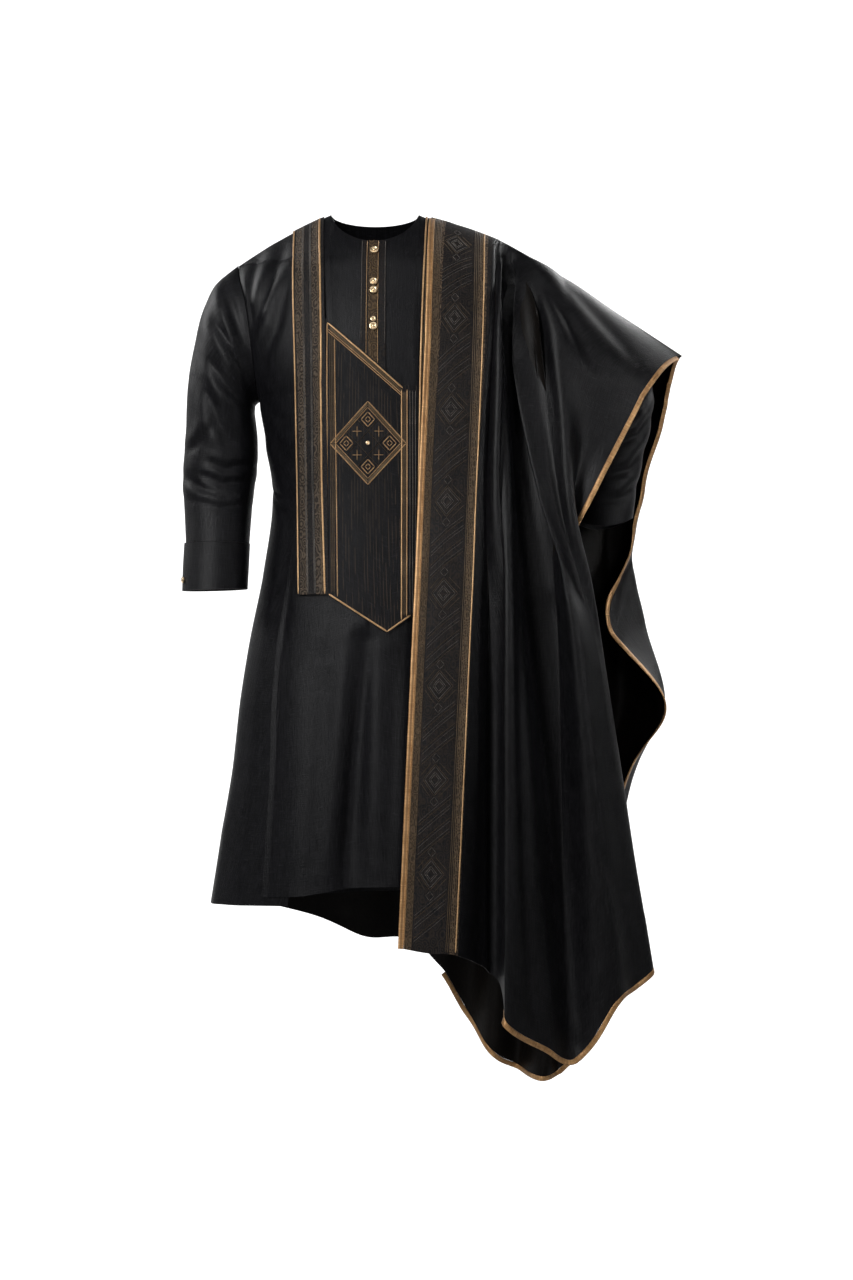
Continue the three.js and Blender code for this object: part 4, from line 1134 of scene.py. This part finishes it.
# Band of the robe: pinstriped borders and a lattice of nested lozenges and slanting lines
bandLength = lengthsAlong(robeBand[:, bandColumn // 2])[-1]
bandRight = lengthsAcross(robeBand)[:, -1].min()
sew("robeBand", "Gold", [(bandRight - 1.6, 4), (bandRight - 1.6, bandLength - 4)], 2.5, 1.2)
sew("robeBand", "Gold", [(0.6, 4), (0.6, bandLength - 2)], 1.2, 0.8)
for place in (2.8, 5.2, 7.6, 10, 12.4):
    for across in (place, bandRight - 2.2 - place):
        sew("robeBand", "Bronze", [(across, 4), (across, bandLength - 2)], 1.1, 0.55)
band = {"fieldLeft": 15.5, "fieldMargin": 17.5, "firstMotif": 74, "motifLength": 136, "motifs": 8}
fieldLeft, fieldRight = band["fieldLeft"], bandRight - band["fieldMargin"]
fieldMiddle, fieldHalf = (fieldLeft + fieldRight) / 2, (fieldRight - fieldLeft) / 2
for index in range(band["motifs"]):
    along = band["firstMotif"] + index * band["motifLength"]
    for share in (1.0, 0.84, 0.5, 0.34):
        path = lozenge(fieldMiddle, along, fieldHalf * share * 0.82, fieldHalf * share)
        sew("robeBand", "Grey" if share < 0.9 else "Bronze", path, 0.8, 0.5)
    for corner in (-1, 1):
        path = lozenge(fieldMiddle, along + corner * fieldHalf * 1.36, fieldHalf * 0.26, fieldHalf * 0.3)
        sew("robeBand", "Grey", path, 0.7, 0.5)
        for side in (-1, 1):
            path = [(fieldMiddle + side * fieldHalf * 0.96, along + corner * fieldHalf * 0.25),
                    (fieldMiddle + side * fieldHalf * 0.28, along + corner * fieldHalf * 1.06)]
            sew("robeBand", "Bronze", path, 0.7, 0.4)
    for shift in (-26, -21, -12, -7, 7, 12, 22, 27):
        middle = along + band["motifLength"] / 2 + shift
        if middle + fieldHalf < bandLength - 3:
            path = [(fieldLeft, middle + fieldHalf * 0.9), (fieldRight, middle - fieldHalf * 0.9)]
            sew("robeBand", "Bronze" if shift in (-21, 7, 27) else "Grey", path, 0.6, 0.4)

for name, lines in threads.items():
    joinedThreads(name, lines, next(threadOf[color] for color in threadOf if name.endswith(color)))
print("trims made")


# Buttons, turned about their own axis: a rim, a dished face and a raised middle, in shares of the radius
# and of the height
buttonProfile = np.array([
    (0, -0.25), (0.8, -0.1), (0.97, 0.25), (1, 0.5), (0.93, 0.8), (0.78, 0.86), (0.6, 0.62), (0.44, 0.6),
    (0.32, 0.86), (0.16, 0.98), (0, 1),
])


def addButton(name, seat, outward, radius, height):
    sideways = unit(np.cross(outward, (0.0, 0.3, 1.0)))
    swings = np.arange(29)[:, None] / 28 * 2 * np.pi
    ring = np.cos(swings) * sideways + np.sin(swings) * np.cross(outward, sideways)
    reach, rise = (buttonProfile * (radius, height)).T[..., None, None]
    grid = seat + ring[None] * reach + outward * rise
    pieces[name] = addObject(name, grid.reshape(-1, 3), quadsOf(indexOf(grid)), buttonMetal, sharp=40)


def addSewnButton(name, sheetName, x, z, lift, radius, height):
    seat = surfaces[sheetName](x, z, lift)
    addButton(name, seat, unit(surfaces[sheetName](x, z, lift + 1) - seat), radius, height)


buttonRows = [(-76, 1), (-127, 0.9), (-140.5, 0.9), (-185, 0.6), (-196, 0.9)]  # height and scale
for number, (z, scale) in enumerate(buttonRows, start=1):
    addSewnButton(f"button{number}", "frontPlacket", 1.0, z, 0.5, 6.6 * scale, 4 * scale)
cuffRow, cuffTurn = np.array(1.56), np.array(0.07)
cuffSeat = sleeveRing(rightCuffSections, cuffRow, cuffTurn)
cuffOutward = unit((cuffSeat - sleeveRing(rightCuffSections, cuffRow, cuffTurn + 0.5)) / 2 * (1, 1, 0))
addButton("cuffButton", cuffSeat + cuffOutward * 1.9, cuffOutward, 5, 3)
addSewnButton("emblemBead", "chestPanel", *emblem["place"], 0.6, 3, 2.2)
print("buttons made")

# The solid that each piece stands for
standsFor = {
    "tunicFront": "tunic_front", "tunicBack": "tunic_back", "rightSleeve": "right_sleeve",
    "leftSleeve": "left_sleeve", "rightCuff": "right_cuff", "robeBand": "robe_band",
    "robeFront": "robe_front", "robeBack": "robe_back", "bandBinding": "band_binding",
    "sleeveFrontBinding": "sleeve_front_binding", "frontHemBinding": "front_hem_binding",
    "sleeveBackBinding": "sleeve_back_binding", "backHemBinding": "back_hem_binding",
    "rightStrip": "right_strip", "leftStrip": "left_strip", "chestPanel": "chest_panel",
    "frontPlacket": "placket", "button1": "button_1", "button2": "button_2", "button3": "button_3",
    "button4": "button_4", "button5": "button_5", "cuffButton": "cuff_button",
}
# Every piece stays with the garment. Threads, buttons and bindings have finishes of their own.
for name, piece in pieces.items():
    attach(piece, "root")
    if name in standsFor:
        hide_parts(standsFor[name])

# Stage: a pale sweep, soft lights and the photo's camera. Paper and world glow for the camera alone, so
# that the black cloth mirrors little of them.
floorZ, wallY, wallTop = -1580, 4600, 6200
sweepHalfWidth, sweepFront, sweepRadius = 7200, -7200, 900
sweepLine = [(sweepFront, floorZ), (wallY - sweepRadius, floorZ)]
for swing in np.linspace(0.1, math.pi / 2, 12):
    behind, above = sweepRadius * math.sin(swing), sweepRadius * (1 - math.cos(swing))
    sweepLine.append((wallY - sweepRadius + behind, floorZ + above))
sweepLine.append((wallY, wallTop))
sweepGrid = np.array([[(x, y, z) for x in (-sweepHalfWidth, sweepHalfWidth)] for y, z in sweepLine], float)


def cameraGlow(tree, strength, rest):
    seen = addNode(tree, "LightPath").outputs["Is Camera Ray"]
    feed(tree, strength, mathNode(tree, "MULTIPLY_ADD", seen, 0.95, rest))


paper, paperTree, paperShader = newMaterial("paper", {
    "Roughness": 0.9, "Specular IOR Level": 0.1, "Emission Color": (1, 1, 1, 1)})
paperNoise = addNode(paperTree, "TexNoise", Scale=3.0).outputs[0]
paperColor = mixColors(paperTree, paperNoise, (0.3, 0.3, 0.3, 1), (0.33, 0.33, 0.33, 1))
feed(paperTree, paperShader.inputs["Base Color"], paperColor)
cameraGlow(paperTree, paperShader.inputs["Emission Strength"], 0.01)
sweep = addObject("sweep", sweepGrid.reshape(-1, 3), quadsOf(indexOf(sweepGrid)), paper)

world = bpy.data.worlds.new("studio")
world.use_nodes = True
surroundings = world.node_tree.nodes["Background"]
surroundings.inputs["Color"].default_value = (1, 1, 1, 1)
cameraGlow(world.node_tree, surroundings.inputs["Strength"], 0.014)
bpy.context.scene.world = world
bpy.context.scene.view_settings.view_transform = "Standard"


def addLight(name, place, target, size, power, spread=math.pi):
    data = bpy.data.lights.new(name, "AREA")
    data.shape = "RECTANGLE"
    data.size, data.size_y = size
    data.energy = power
    data.spread = spread
    light = bpy.data.objects.new(name, data)
    light.location = place
    light.rotation_mode = "QUATERNION"
    light.rotation_quaternion = (Vector(target) - Vector(place)).to_track_quat("-Z", "Y")
    bpy.context.scene.collection.objects.link(light)


addLight("keyLight", (-1.7, -2.7, 0.8), (0.05, 0, -0.6), (0.8, 2.2), 84)
addLight("fillLight", (1.5, -3.1, 0.2), (0.15, 0, -0.6), (0.5, 2.0), 10)
addLight("topLight", (0.0, -1.2, 1.9), (0.1, 0, -0.5), (1.6, 0.8), 9)
addLight("backdropLeft", (-3.0, 1.6, 1.6), (-1.0, 4.6, -0.2), (1.4, 2.4), 190)
addLight("backdropRight", (3.2, 1.6, 1.6), (1.2, 4.6, -0.2), (1.4, 2.4), 190)
addLight("openingLight", (2.3, -1.5, -0.1), (0.5, 0.05, -0.48), (0.4, 0.7), 0.7, spread=0.6)
addLight("backLight", (1.6, 2.9, 1.1), (0.1, 0, -0.6), (0.8, 2.0), 34)

camera = bpy.data.objects.new("camera", bpy.data.cameras.new("camera"))
camera.data.lens = 47.475
camera.data.sensor_width = 36
camera.location = (0.0793, -2.6, -0.6576)
camera.rotation_euler = (math.pi / 2, 0, 0)
bpy.context.scene.collection.objects.link(camera)
bpy.context.scene.camera = camera
